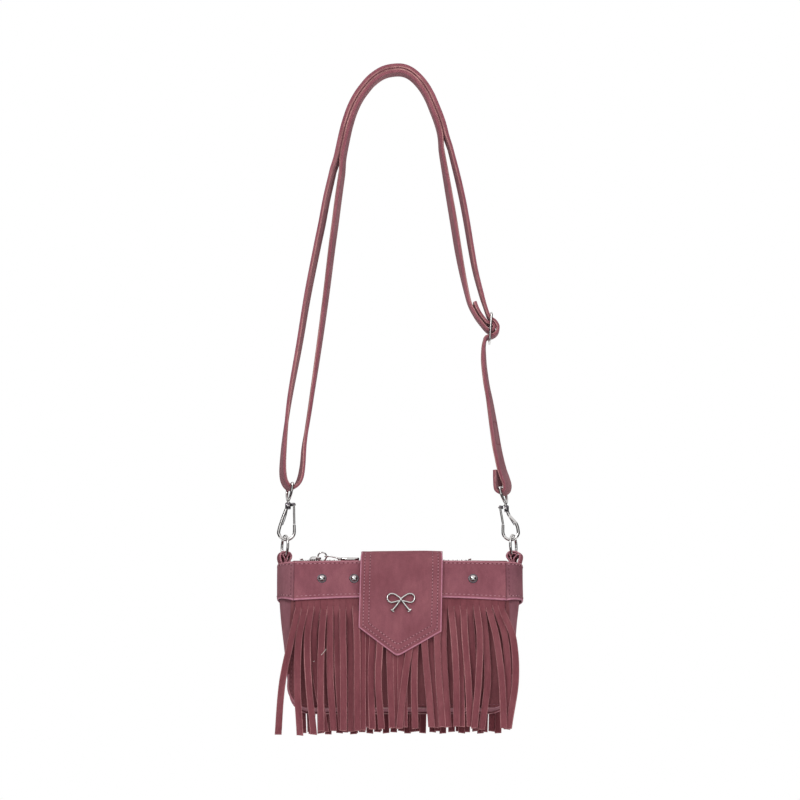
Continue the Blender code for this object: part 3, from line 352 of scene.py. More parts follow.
def slab(mesh, grid, thick, sides="LRTB", rims=None, face=0, profile=(0.42, 0.82), rim_from=0):
    """A thick sheet over a grid; named sides are rounded off, and rims gives each side's material index."""
    rows, cols = len(grid), len(grid[0])
    normals = grid_normals(grid)
    rims = rims or {}

    def ring(i, j):
        near = []
        for side, steps in (("T", i), ("B", rows - 1 - i), ("L", j), ("R", cols - 1 - j)):
            if side in sides:
                near.append((steps, side))
        return near

    verts = []
    for sign in (1.0, -1.0):
        for i in range(rows):
            for j in range(cols):
                share = 1.0
                for steps, side in ring(i, j):
                    if steps < len(profile):
                        share *= profile[steps]
                verts.append(grid[i][j] + normals[i][j] * (sign * thick / 2 * share))
    back = rows * cols
    faces, indices = [], []
    for i in range(rows - 1):
        for j in range(cols - 1):
            index = face
            for side, steps in (("T", i), ("B", rows - 2 - i), ("L", j), ("R", cols - 2 - j)):
                if side in rims and steps < len(profile) and i >= rim_from:
                    index = rims[side]
            a, b, c, d = i * cols + j, i * cols + j + 1, (i + 1) * cols + j + 1, (i + 1) * cols + j
            faces += [(d, c, b, a), (back + a, back + b, back + c, back + d)]
            indices += [index, index]
    for side, loop in (("T", [j for j in range(cols)]),
                       ("B", [(rows - 1) * cols + j for j in range(cols)][::-1]),
                       ("L", [i * cols for i in range(rows)][::-1]),
                       ("R", [i * cols + cols - 1 for i in range(rows)])):
        for a, b in zip(loop, loop[1:]):
            faces.append((a, b, back + b, back + a))
            indices.append(rims.get(side, face) if side == "T" or min(a, b) // cols >= rim_from else face)
    mesh.add(verts, faces, indices)


def edged(length, count, rim=1.0 * MM):
    """Distances from 0 to length with two close steps at each end."""
    inner = [rim + (length - 2 * rim) * i / count for i in range(count + 1)]
    return [0.0, rim * 0.35] + inner + [length - rim * 0.35, length]


def frames(points, cyclic=False):
    """Directions square to a path, carried along it without twisting."""
    count = len(points)
    out = []
    for i in range(count):
        before = points[i - 1] if i or cyclic else points[0]
        after = points[(i + 1) % count] if i < count - 1 or cyclic else points[-1]
        along = (after - before).normalized()
        if not out:
            side = along.cross(Vector((0.0, 0.0, 1.0)))
            if side.length < 0.2:
                side = along.cross(Vector((0.0, 1.0, 0.0)))
            side = side.normalized()
        else:
            side = out[-1][1] - along * out[-1][1].dot(along)
            side = side.normalized()
        out.append((along, side, along.cross(side)))
    return out


def tube(mesh, points, radius, cyclic=False, sides=12, index=0, flat=1.0):
    """A round rod along a path; radius may be one number or one for each point."""
    radii = radius if isinstance(radius, list) else [radius] * len(points)
    verts, faces = [], []
    for point, size, (_, side, up) in zip(points, radii, frames(points, cyclic)):
        for k in range(sides):
            turn = 2 * pi * k / sides
            verts.append(point + side * (cos(turn) * size) + up * (sin(turn) * size * flat))
    count = len(points)
    for i in range(count if cyclic else count - 1):
        for k in range(sides):
            a, b = i * sides + k, i * sides + (k + 1) % sides
            c, d = ((i + 1) % count) * sides + (k + 1) % sides, ((i + 1) % count) * sides + k
            faces.append((a, b, c, d))
    if not cyclic:
        faces.append(tuple(range(sides))[::-1])
        faces.append(tuple(range((count - 1) * sides, count * sides)))
    mesh.add(verts, faces, index)


def curve(points, steps, cyclic=False):
    """A smooth path through points."""
    count = len(points)
    out = []
    for i in range(count if cyclic else count - 1):
        if cyclic:
            a, b, c, d = (points[(i + k) % count] for k in (-1, 0, 1, 2))
        else:
            a, b, c, d = points[max(i - 1, 0)], points[i], points[i + 1], points[min(i + 2, count - 1)]
        for k in range(steps):
            t = k / steps
            out.append(0.5 * (2 * b + (c - a) * t + (2 * a - 5 * b + 4 * c - d) * t * t
                              + (3 * b - a - 3 * c + d) * t ** 3))
    if not cyclic:
        out.append(points[-1])
    return out


def turned(mesh, profile, centre, axis=None, steps=32, index=0):
    """A solid of revolution: radius and height pairs about an axis through centre."""
    axis = (axis or Vector((0.0, 0.0, 1.0))).normalized()
    side = axis.cross(Vector((1.0, 0.0, 0.0)))
    side = side.normalized() if side.length > 0.1 else axis.cross(Vector((0.0, 1.0, 0.0))).normalized()
    up = axis.cross(side)
    verts, faces = [], []
    for radius, height in profile:
        radius = max(radius, 0.002 * MM)
        for k in range(steps):
            turn = 2 * pi * k / steps
            verts.append(centre + axis * height + side * (cos(turn) * radius) + up * (sin(turn) * radius))
    for i in range(len(profile) - 1):
        for k in range(steps):
            a, b = i * steps + k, i * steps + (k + 1) % steps
            faces.append((a, b, b + steps, a + steps))
    faces.append(tuple(range(steps))[::-1])
    faces.append(tuple(range((len(profile) - 1) * steps, len(profile) * steps)))
    mesh.add(verts, faces, index)


def block(mesh, centre, size, edge, index=0, matrix=None):
    """A bar with chamfered edges."""
    x, y, z = (s / 2 for s in size)
    profile = []
    for sx, sy in ((1, 1), (-1, 1), (-1, -1), (1, -1)):
        pair = [(sx * x, sy * (y - edge)), (sx * (x - edge), sy * y)]
        profile += pair if sx * sy > 0 else pair[::-1]
    verts = []
    for height, shrink in ((-z, edge), (-z + edge, 0.0), (z - edge, 0.0), (z, edge)):
        for px, py in profile:
            point = Vector((px - shrink * (1 if px > 0 else -1), py - shrink * (1 if py > 0 else -1), height))
            verts.append(centre + (matrix @ point if matrix else point))
    faces = [tuple(range(8))[::-1], tuple(range(24, 32))]
    for i in range(3):
        for k in range(8):
            a, b = i * 8 + k, i * 8 + (k + 1) % 8
            faces.append((a, b, b + 8, a + 8))
    mesh.add(verts, faces, index)


def walk(points, pitch, start=0.0):
    """Evenly spaced places along a path, each with its direction."""
    out, travelled, goal = [], 0.0, start
    for a, b in zip(points, points[1:]):
        length = (b - a).length
        while length > 0 and goal <= travelled + length:
            out.append((a.lerp(b, (goal - travelled) / length), (b - a).normalized()))
            goal += pitch
        travelled += length
    return out


def stitch_row(mesh, points, normals_at, pitch=STITCH_PITCH, length=1.9 * MM, thick=0.28 * MM, start=1.0 * MM,
               holes=True, index=0, hole_shade_index=1):
    """A row of stitches that dip into the suede at each end, with the needle's holes between them, coloured
    dark as painted shade.
    """
    for place, along in walk(points, pitch, start):
        normal = normals_at(place)
        normal = (normal - along * normal.dot(along)).normalized()
        across = along.cross(normal)
        verts, faces = [], []
        sides = 6
        for share, height, width in ((-0.5, -0.25, 0.45), (-0.3, 0.25, 0.9), (0.0, 0.42, 1.0),
                                     (0.3, 0.25, 0.9),
                                     (0.5, -0.25, 0.45)):
            centre = place + along * (length * share) + normal * (thick * height)
            for k in range(sides):
                turn = 2 * pi * k / sides
                verts.append(centre + across * (cos(turn) * thick * width)
                             + normal * (sin(turn) * thick * width * 0.8))
        for i in range(4):
            for k in range(sides):
                a, b = i * sides + k, i * sides + (k + 1) % sides
                faces.append((a, b, b + sides, a + sides))
        faces += [tuple(range(sides))[::-1], tuple(range(4 * sides, 5 * sides))]
        mesh.add(verts, faces, index)
        if holes:
            hole = place + along * (pitch / 2)
            ring = [hole + along * (cos(2 * pi * k / 6) * 0.68 * MM)
                    + across * (sin(2 * pi * k / 6) * 0.4 * MM)
                    + normal * (0.05 * MM) for k in range(6)]
            low = [point - normal * (0.3 * MM) for point in ring]
            sides_of_hole = [(k, (k + 1) % 6, 6 + (k + 1) % 6, 6 + k) for k in range(6)]
            mesh.add(ring + low, [(0, 1, 2, 3, 4, 5), (11, 10, 9, 8, 7, 6)] + sides_of_hole, hole_shade_index)


def wave(point, scale, size, seed=0.0):
    """Smooth uneven height for soft suede."""
    return noise.noise(Vector((point.x * scale + seed, point.y * scale, point.z * scale))) * size


# Camera and stage

CAMERA_PLACE = (0.0, -2.6, -0.870)
CAMERA_TURN = 103.0
CAMERA_LENS = 152.0
FLOOR_Z = -1.0
FLOOR_REACH = 6.0
FLOOR_GLOW = 0.55
LIGHT_AIM = Vector((0.0, 0.0, -0.42))
FLAG_X = 1.2
FLAG_FOOT, FLAG_TOP = -0.98, 0.6
LAMPS = (
    ("key", (-1.3, -1.9, 0.9), 1.1, 23.0),
    ("fill", (1.7, -1.7, 0.2), 1.3, 17.0),
    ("low", (0.2, -1.8, -0.88), 0.7, 5.0),
    ("behind", (0.3, 2.3, 0.9), 1.6, 24.0),
)


def make_camera():
    data = bpy.data.cameras.new("camera")
    data.lens = CAMERA_LENS
    data.sensor_width = 36.0
    data.clip_start = 0.05
    data.clip_end = 50.0
    item = bpy.data.objects.new("camera", data)
    item.location = CAMERA_PLACE
    item.rotation_euler = (radians(CAMERA_TURN), 0.0, 0.0)
    bpy.context.scene.collection.objects.link(item)
    bpy.context.scene.camera = item


def grey_shade(name, low, high):
    shade = Shade(name, 0.9)
    stops = ((0.3, (low, low, low, 1.0)), (0.7, (high, high, high, 1.0)))
    shade.colour(shade.ramp(shade.noise(3.0, 2.0), stops))
    return shade


def make_card(name, corners, shade):
    mesh = bpy.data.meshes.new(name)
    mesh.from_pydata(corners, [], [(0, 1, 2, 3)])
    mesh.materials.append(shade.material)
    card = bpy.data.objects.new(name, mesh)
    bpy.context.scene.collection.objects.link(card)
    return card


def make_floor():
    """A pale floor that keeps the bag's shadow, and is white to camera, glossy and transmission rays."""
    shade = grey_shade("floor", 0.78, 0.82)
    rays = shade.node("ShaderNodeLightPath")
    seen = shade.math("MAXIMUM", rays.outputs["Is Camera Ray"], rays.outputs["Is Glossy Ray"])
    seen = shade.math("MAXIMUM", seen, rays.outputs["Is Transmission Ray"])
    shade.bsdf.inputs["Emission Color"].default_value = (1.0, 1.0, 1.0, 1.0)
    shade.link(shade.math("MULTIPLY", seen, FLOOR_GLOW), shade.bsdf.inputs["Emission Strength"])
    reach = FLOOR_REACH
    make_card("floor", [(x, y, FLOOR_Z) for x, y in
                        ((-reach, -reach), (reach, -reach), (reach, reach), (-reach, reach))], shade)


def make_world():
    """Light from large soft panels in front and overhead, with dark walls at the sides; seen as white."""
    world = bpy.data.worlds.new("studio")
    bpy.context.scene.world = world
    world.use_nodes = True
    tree = world.node_tree
    nodes, links = tree.nodes, tree.links
    background = nodes["Background"]
    coords = nodes.new("ShaderNodeTexCoord")
    parts = nodes.new("ShaderNodeSeparateXYZ")
    links.new(coords.outputs["Generated"], parts.inputs[0])

    def span(axis, stops, absolute=False):
        """A level that changes along one axis of the direction."""
        place = nodes.new("ShaderNodeMath")
        place.operation = "ABSOLUTE" if absolute else "MULTIPLY_ADD"
        if not absolute:
            place.inputs[1].default_value = 0.5
            place.inputs[2].default_value = 0.5
        links.new(parts.outputs[axis], place.inputs[0])
        ramp = nodes.new("ShaderNodeValToRGB")
        elements = ramp.color_ramp.elements
        while len(elements) < len(stops):
            elements.new(0.5)
        for element, (position, level) in zip(elements, stops):
            element.position = position
            element.color = (level, level, level, 1.0)
        links.new(place.outputs[0], ramp.inputs["Fac"])
        return ramp.outputs["Color"]

    def join(kind, first, second):
        item = nodes.new("ShaderNodeMix")
        item.data_type = "RGBA"
        item.blend_type = kind
        item.inputs[0].default_value = 1.0
        links.new(first, item.inputs[6])
        links.new(second, item.inputs[7])
        return item.outputs[2]

    def larger(first, second):
        item = nodes.new("ShaderNodeMath")
        item.operation = "MAXIMUM"
        links.new(first, item.inputs[0])
        links.new(second, item.inputs[1])
        return item.outputs[0]

    panels = span("X", ((0.0, 1.0), (0.38, 1.0), (0.5, 0.0)), True)
    panels = join("MULTIPLY", panels, span("Z", ((0.44, 0.0), (0.46, 1.0), (0.71, 1.0), (0.75, 0.0))))
    panels = join("MULTIPLY", panels, span("Y", ((0.3, 1.0), (0.4, 0.0))))
    walls = span("Y", ((0.0, 0.24), (0.4, 0.07), (0.94, 0.07), (0.975, 1.0)))
    light = join("LIGHTEN", join("LIGHTEN", panels, walls), span("Z", ((0.87, 0.0), (0.93, 0.95))))
    rays = nodes.new("ShaderNodeLightPath")
    seen = larger(rays.outputs["Is Camera Ray"], rays.outputs["Is Glossy Ray"])
    seen = larger(seen, rays.outputs["Is Transmission Ray"])
    mix = nodes.new("ShaderNodeMix")
    mix.data_type = "RGBA"
    links.new(seen, mix.inputs[0])
    links.new(light, mix.inputs[6])
    mix.inputs[7].default_value = (1.0, 1.0, 1.0, 1.0)
    links.new(mix.outputs[2], background.inputs["Color"])
    background.inputs["Strength"].default_value = 1.0


def make_lamps():
    for name, place, size, power in LAMPS:
        data = bpy.data.lights.new(name, "AREA")
        data.size = size
        data.energy = power
        lamp = bpy.data.objects.new(name, data)
        lamp.visible_glossy = name == "key"
        lamp.location = place
        lamp.rotation_euler = (LIGHT_AIM - Vector(place)).to_track_quat("-Z", "Y").to_euler()
        bpy.context.scene.collection.objects.link(lamp)


def make_flags():
    """Dark cards beside the bag and under it, which only reflections show."""
    shade = grey_shade("flag", 0.04, 0.06)
    low, high = FLAG_FOOT, FLAG_TOP
    cards = [make_card(name, ((x, -2.2, low), (x, 2.4, low), (x, 2.4, high), (x, -2.2, high)), shade)
             for name, x in (("left_flag", -FLAG_X), ("right_flag", FLAG_X))]
    under = ((-0.9, -1.5, low), (0.9, -1.5, low), (0.9, -0.1, low), (-0.9, -0.1, low))
    cards.append(make_card("low_flag", under, shade))
    for card in cards:
        card.visible_camera = False
        card.visible_diffuse = False
        card.visible_transmission = False
        card.visible_shadow = False


# The pouch's form

def drop_share(z):
    return min(max((POUCH_TOP - z) / (POUCH_TOP - POUCH_BOTTOM), 0.0), 1.0)


def half_depth(z):
    return TOP_HALF_DEPTH + (BOTTOM_HALF_DEPTH - TOP_HALF_DEPTH) * sin(drop_share(z) * pi / 2)


def seam_half_width(z):
    return POUCH_HALF_WIDTH + POUCH_FLARE * drop_share(z)


def panel_half_width(z, edge):
    """Half the panel's width at a height, with its rounded bottom corners."""
    radius = CORNER_RADIUS + edge
    centre_z = POUCH_BOTTOM + CORNER_RADIUS
    full = seam_half_width(max(z, centre_z)) + edge
    if z >= centre_z:
        return full
    drop = min((centre_z - z) / radius, 1.0)
    return seam_half_width(centre_z) + edge - radius * (1.0 - sqrt(max(1.0 - drop * drop, 0.0)))


def face_normal(z, side):
    """The way the front (side -1) or the back (side 1) faces."""
    step = 1.0 * MM
    slope = (half_depth(z - step) - half_depth(z + step)) / (2 * step)
    return Vector((0.0, side, slope)).normalized()


def back_rise(z):
    """The pouch's bottom tips up a little towards the back."""
    return 2.6 * MM * drop_share(z) ** 2


def make_panel(name, side):
    bottom = POUCH_BOTTOM - SEAM_EDGE
    centre_z = POUCH_BOTTOM + CORNER_RADIUS
    heights = [POUCH_TOP + (centre_z - POUCH_TOP) * i / 22 for i in range(23)]
    for i in range(1, 9):
        heights.append(centre_z - (CORNER_RADIUS + SEAM_EDGE) * sin(i / 9 * pi / 2 * 0.93))
    heights += [bottom + 1.5 * MM, bottom + 0.6 * MM, bottom + 0.02 * MM]
    grid = []
    for z in heights:
        half = panel_half_width(z, SEAM_EDGE)
        row = []
        for d in edged(2 * half, 44, 1.5 * MM):
            x = d - half
            point = Vector((x, side * half_depth(z), z))
            bulge = cos(min(abs(x) / half, 1.0) * pi / 2)
            point.y += side * wave(point, 28.0, 0.9 * MM, 3.0) * bulge
            point.z += back_rise(z) * (side > 0)
            row.append(point)
        grid.append(row)
    mesh = Mesh()
    slab(mesh, grid, SUEDE * 1.1, "LRB", {"L": 1, "R": 1, "B": 4}, rim_from=20)
    # The seam that closes the pouch runs just inside the cut edge
    path = []
    inset = 2.9 * MM
    for z in heights[:-3]:
        path.append(Vector((panel_half_width(z, SEAM_EDGE) - inset, 0.0, max(z, bottom + inset))))
    full = [Vector((-p.x, 0.0, p.z)) for p in path]
    full += [Vector((x * MM, 0.0, bottom + inset)) for x in range(-64, 65, 8)]
    full += path[::-1]
    line = [Vector((p.x, side * (half_depth(p.z) + SUEDE * 0.55), p.z + back_rise(p.z) * (side > 0)))
            for p in full]
    stitch_row(mesh, line, lambda p: face_normal(p.z, side), index=2, hole_shade_index=3)
    item = mesh.make(name + "_suede", [PANEL_ROSE, TURNED, SEAM_THREAD, HOLE_SHADE, RAW])
    finish_piece(item, "bag", (name,))
    lay_flat([grid])


def gusset_bulge(z, side):
    """How far the side puffs out past the seams: held in by the band above, and slack again lower down."""
    drop = POUCH_TOP - z
    full = 11.7 * MM if side < 0 else 10.2 * MM
    if drop < BAND_HEIGHT:
        return full - 1.6 * MM * (1.0 - drop / BAND_HEIGHT)
    share = min((drop - BAND_HEIGHT) / (POUCH_TOP - POUCH_BOTTOM - BAND_HEIGHT), 1.0)
    return full * (1.0 - share) ** 1.15


def make_gusset():
    centre_z = POUCH_BOTTOM + CORNER_RADIUS
    side = [(seam_half_width(z), z) for z in (POUCH_TOP + (centre_z - POUCH_TOP) * i / 26 for i in range(26))]
    corner_x = seam_half_width(centre_z) - CORNER_RADIUS
    for i in range(11):
        turn = i / 10 * pi / 2
        side.append((corner_x + CORNER_RADIUS * cos(turn), centre_z - CORNER_RADIUS * sin(turn)))
    path = [(-x, z) for x, z in side]
    path += [(corner_x * (2 * i / 24 - 1), POUCH_BOTTOM) for i in range(1, 24)]
    path += side[::-1]
    grid = []
    for x, z in path:
        reach = half_depth(z) - SUEDE - GAP
        outward = 1.0 if x > 0 else -1.0
        bulge = gusset_bulge(z, outward)
        row = []
        for i in range(17):
            v = 2 * i / 16 - 1
            point = Vector((x + outward * bulge * (1 - abs(v) ** 3.2), v * reach,
                            z + back_rise(z) * (v + 1) / 2))
            point += Vector((outward, 0.0, 0.0)) * wave(point, 34.0, 0.7 * MM, 9.0) * (1 - v * v)
            row.append(point)
        grid.append(row)
    mesh = Mesh()
    slab(mesh, grid, SUEDE, "")
    # The gusset wears the lighter, greyer suede: painted sheen.
    item = finish_piece(mesh.make("gusset_suede", [GUSSET_SHEEN_ROSE]), "bag", ("gusset",))
    lay_flat([grid])


def band_offset():
    return SUEDE / 2 + GAP + FRINGE_SUEDE + GAP + BAND_SUEDE / 2


def band_sag(x):
    """The band's lower edge dips a little towards the side seams."""
    return 2.6 * MM * (abs(x) / BAND_HALF_LENGTH) ** 2.2


def band_z(x, depth, side):
    """Height on a band: its upper edge and its lower edge both dip towards the side seams."""
    share = depth / BAND_HEIGHT
    lower = band_sag(x) * share * (1.0 if side < 0 else 0.6)
    return POUCH_TOP - depth - lower - 1.1 * MM * (1 - share) * (abs(x) / BAND_HALF_LENGTH) ** 2


def make_band(name, side):
    grid = []
    for d in edged(BAND_HEIGHT, 12, 1.15 * MM):
        row = []
        for i in range(121):
            x = BAND_HALF_LENGTH * (2 * i / 120 - 1)
            share = d / BAND_HEIGHT
            z = band_z(x, d, side)
            point = Vector((x, side * (half_depth(z) + band_offset()), z))
            point.y += side * (wave(point, 26.0, 0.5 * MM, 5.0)
                               + 0.25 * MM * exp(-((share - 0.97) / 0.03) ** 2))
            row.append(point)
        grid.append(row)
    mesh = Mesh()
    slab(mesh, grid, BAND_SUEDE, "TB", {"T": 1, "B": 2}, profile=(0.4, 0.86))
    for depth in (2.0 * MM, BAND_HEIGHT - 3.0 * MM):
        line = []
        for i in range(81):
            x = (BAND_HALF_LENGTH - 1.5 * MM) * (2 * i / 80 - 1)
            z = band_z(x, depth, side)
            point = Vector((x, side * (half_depth(z) + band_offset() + BAND_SUEDE / 2), z))
            point.y += side * wave(point, 26.0, 0.5 * MM, 5.0)
            line.append(point)
        stitch_row(mesh, line, lambda p: face_normal(p.z, side), index=3, hole_shade_index=4)
    item = mesh.make(name + "_suede", [ROSE, TURNED, PAINT, THREAD, HOLE_SHADE])
    finish_piece(item, "bag", (name,))
    lay_flat([grid])


def make_side_band(name, side):
    start = BAND_HALF_LENGTH + GAP
    lift = 2.4 * MM if side > 0 else 3.6 * MM

    def place(turn, d, out=0.0):
        share = d / BAND_HEIGHT
        sag = band_sag(BAND_HALF_LENGTH) - lift * sin(turn)
        z = POUCH_TOP - d - sag * share - 1.1 * MM * (1 - share)
        reach = half_depth(z) + band_offset() + out
        return Vector((side * (start + (SIDE_BAND_BULGE + out) * sin(turn)), -reach * cos(turn), z))

    def outward(point):
        return Vector((side * max(abs(point.x) - start, 0.0) * 2.0, point.y, 0.0)).normalized()

    grid = []
    for d in edged(BAND_HEIGHT, 12, 1.15 * MM):
        row = []
        for i in range(33):
            point = place(pi * i / 32, d)
            row.append(point + Vector((side, 0.0, 0.0)) * wave(point, 30.0, 0.5 * MM, 2.0) * sin(pi * i / 32))
        grid.append(row)
    mesh = Mesh()
    slab(mesh, grid, BAND_SUEDE, "TB", {"T": 1, "B": 2}, profile=(0.4, 0.86))
    for depth in (2.0 * MM, BAND_HEIGHT - 3.0 * MM):
        line = [place(pi * i / 32, depth, BAND_SUEDE / 2) for i in range(1, 32)]
        stitch_row(mesh, line, outward, index=3, hole_shade_index=4)
    # The joins between the side band and the front and back bands, as short stitches in the dark hole colour:
    # painted shade along the join.
    for turn in (0.16, pi - 0.16):
        line = [place(turn, d * MM, BAND_SUEDE / 2 + 0.05 * MM) for d in range(2, 30, 2)]
        stitch_row(mesh, line, lambda p: Vector((side * 0.4, p.y, 0.0)).normalized(), index=4, hole_shade_index=4,
                   holes=False, length=1.7 * MM)
    # The side band wears the lighter, greyer gusset suede: painted sheen.
    item = mesh.make(name + "_suede", [GUSSET_SHEEN_ROSE, TURNED, PAINT, THREAD, HOLE_SHADE])
    finish_piece(item, "bag", (name,))
    lay_flat([grid])


# Fringe

# Each strip: swing a quarter of the way down, at six tenths and at the tip, layer, tip rise, twist in degrees
FRONT_STRIPS = (
    (-4.8, -11.5, -14.4, 2, 0.0, 8), (-4.1, -4.9, -2.6, 3, -0.8, -10), (-2.5, -1.2, 2.9, 2, 0.0, 14),
    (-2.6, 0.0, 6.9, 0, 2.4, 30), (-1.3, -1.8, -1.2, 3, 2.4, -12), (0.2, 0.6, 3.4, 1, 3.0, 10),
    (0.7, 1.9, 4.6, 0, 3.6, -25), (0.4, 1.0, 1.0, 3, 2.6, 6), (1.2, 1.6, 1.8, 0, 2.6, 20),
    (1.3, 1.7, 1.9, 2, 2.8, -6), (0.6, 0.6, 1.0, 1, 3.4, 24), (-0.8, -2.0, -1.2, 0, 6.0, -18),
    (-1.2, -2.5, -1.5, 1, 4.2, 12), (-0.5, -1.9, 0.6, 2, 4.2, -10), (1.5, 2.5, 3.9, 1, 5.2, 14),
    (0.6, 1.4, 2.5, 0, 6.0, 34), (0.7, 0.7, 1.1, 1, 6.4, -16), (-0.8, -1.9, -1.5, 0, 6.0, 24),
    (-1.1, -6.1, -10.3, 2, 4.6, 16), (-2.5, -3.9, -3.2, 1, 4.6, -14), (-0.9, 1.5, 4.5, 2, 5.6, 10),
    (-0.8, 0.3, 3.0, 0, 5.6, -36), (-0.9, 0.2, 2.7, 2, 5.8, 12), (-1.1, 0.2, 2.6, 1, 5.8, 22),
    (2.0, 3.8, 3.9, 3, 6.0, 8), (0.8, 2.5, 2.9, 1, 6.2, -26), (0.8, 3.1, 4.5, 2, 6.0, 14),
    (1.2, 2.7, 4.2, 0, 5.0, -30), (2.4, 1.3, -2.2, 3, 4.8, -12), (2.1, 3.2, -1.4, 1, 4.0, 38),
    (5.1, 9.1, 10.4, 3, 4.6, 12), (6.9, 9.2, 8.0, 1, 4.2, -34), (8.3, 9.9, 4.2, 2, 4.4, -16),
)
BACK_STRIPS = (
    (0.4, 1.6, 3.0, 0), (0.6, 2.2, 4.0, 1), (0.0, 0.3, 0.0, 0), (0.3, 1.0, 2.0, 1), (0.2, 0.6, 1.0, 0),
    (-0.3, -1.0, -2.0, 1), (0.3, 1.0, 2.0, 0), (0.2, 0.6, 1.0, 1), (0.5, 1.6, 3.0, 0), (-0.2, -0.6, -1.0, 1),
    (0.0, 0.3, 0.0, 0), (0.2, 0.6, 1.0, 1), (0.3, 1.0, 2.0, 0), (-0.3, -1.0, -2.0, 1), (-0.2, -0.6, -1.0, 0),
    (0.0, 0.3, 0.0, 1), (0.2, 0.6, 1.0, 0), (0.2, 0.6, 1.0, 1), (0.0, -0.3, 0.0, 0), (-0.2, -0.6, -1.0, 1),
    (-0.3, -1.0, -2.0, 0), (0.2, 0.6, 1.0, 1), (0.0, 0.3, 0.0, 0), (-0.2, -0.6, -1.0, 1), (0.2, 0.6, 1.0, 0),
    (0.3, 1.0, 2.0, 1), (-0.2, -0.6, -1.0, 0), (-0.3, -1.0, -2.0, 1), (0.0, -0.3, 0.0, 0),
    (-0.2, -0.6, -1.0, 1), (-0.5, -1.6, -3.0, 0), (-0.3, -1.0, -2.0, 1), (-0.3, -1.0, -2.0, 0),
)


def swing(strip, share):
    """A strip's swing at a share of its length, smooth through its three given values."""
    marks = ((-0.25, 0.0), (0.0, 0.0), (0.25, strip[0]), (0.6, strip[1]), (1.0, strip[2]),
             (1.4, strip[2] + 0.6 * (strip[2] - strip[1])))
    for k in range(1, 4):
        low, high = marks[k], marks[k + 1]
        if share <= high[0] or k == 3:
            t = (share - low[0]) / (high[0] - low[0])
            into = (high[1] - marks[k - 1][1]) / (high[0] - marks[k - 1][0]) * (high[0] - low[0])
            out = (marks[k + 2][1] - low[1]) / (marks[k + 2][0] - low[0]) * (high[0] - low[0])
            return ((2 * t ** 3 - 3 * t * t + 1) * low[1] + (t ** 3 - 2 * t * t + t) * into
                    + (-2 * t ** 3 + 3 * t * t) * high[1] + (t ** 3 - t * t) * out)
    return strip[2]


def make_fringe(name, side, strips, end, materials):
    slit = 0.16 * MM
    pitch = (2 * FRINGE_HALF_LENGTH + slit) / STRIP_COUNT
    offset = SUEDE / 2 + GAP + FRINGE_SUEDE / 2
    head_z = POUCH_TOP - BAND_HEIGHT + 6.0 * MM
    mesh = Mesh()
    grids = []
    steps = 40
    for i, strip in enumerate(strips):
        left = -FRINGE_HALF_LENGTH + i * pitch
        width = pitch - slit
        lift = strip[4] * MM if len(strip) > 5 else (2.6 - 0.8 * (i < 11) + 0.9 * sin(i * 2.1)) * MM
        twist = radians(strip[5] * 0.35) if len(strip) > 5 else radians(9.0 * sin(i * 1.7))
        tip = end + lift
        root_z = FRINGE_ROOT + 1.6 * MM * sin(i * 4.3)
        grid = []
        columns = edged(width, 4, 0.4 * MM)
        rim = 0.6 * MM / (root_z - tip)
        shares = [-1.0, -0.5] + [(1.0 - rim) * k / steps for k in range(steps + 1)] + [1.0 - rim * 0.35, 1.0]
        for share in shares:
            if share < 0:
                z = root_z + (head_z - root_z) * -share
                middle, out, turn = left + width / 2, 0.0, 0.0
                fall = 0.0
            else:
                z = root_z + (tip - root_z) * share
                fall = min(share / 0.07, 1.0)
                fall = fall * fall * (3 - 2 * fall)
                middle = left + width / 2 + swing(strip, share) * MM * min(share / 0.05, 1.0)
                out = strip[3] * LAYER_STEP * fall
                out += fall * 0.5 * MM * (1 + noise.noise(Vector((i * 3.1, share * 3.0, side * 5.0))))
                turn = twist * (share ** 1.3)
                turn += fall * radians(9.0) * noise.noise(Vector((i * 7.7, share * 2.6, 1.0)))
            spread = 1.0 + 0.09 * fall
            slant = 0.35 * MM * sin(i * 5.0) if share == 1.0 else 0.0
            row = []
            for d in columns:
                u = (d - width / 2) * spread
                cup = 0.35 * MM * fall * (2 * u / width) ** 2 * sin(i * 2.9 + share * 4.0)
                x = middle + u * cos(turn)
                y = side * (half_depth(z) + offset + out + cup) + u * sin(turn)
                row.append(Vector((x, y, z + slant * (2 * u / width))))
            grid.append(row)
        grids.append(grid)
        slab(mesh, grid[:3], FRINGE_SUEDE, "", face=0)
        slab(mesh, grid[2:], FRINGE_SUEDE, "LRB", {"L": 1, "R": 1, "B": 1}, profile=(0.5, 0.88))
    item = mesh.make(name + "_strips", materials, 50.0)
    finish_piece(item, "bag", (name,))
    lay_flat(grids)


# Flap

FLAP_FOLD = ((15.2, -389.2), (9.0, -390.1), (2.0, -391.4), (-5.0, -392.4), (-10.5, -393.5), (-14.6, -395.5),
             (-17.2, -398.3), (-18.5, -402.2))
FOLD_FOOT = -400.0 * MM


def flap_profile():
    """The flap's path in Y and Z, from the tail's end up the back, over the fold and down the front."""
    stand = band_offset() + BAND_SUEDE / 2 + GAP + FLAP_SUEDE / 2
    tail = []
    for i in range(8):
        z = TAIL_END + (POUCH_TOP - TAIL_END) * i / 7
        tail.append(Vector((0.0, half_depth(z) + stand, z)))
    tail += [Vector((0.0, HINGE_Y - 0.1 * MM, HINGE_Z - 5.0 * MM)),
             Vector((0.0, HINGE_Y - 0.5 * MM, HINGE_Z - 1.6 * MM))]
    over = [Vector((0.0, y * MM, z * MM)) for y, z in FLAP_FOLD]
    front = []
    for z in range(-408, -492, -6):
        front.append(Vector((0.0, -(half_depth(z * MM) + FLAP_STAND_OFF), z * MM)))
    return curve(tail + over + front, 8)


FLAP_PATH = flap_profile()
FLAP_RUN = [0.0]
for before, after in zip(FLAP_PATH, FLAP_PATH[1:]):
    FLAP_RUN.append(FLAP_RUN[-1] + (after - before).length)


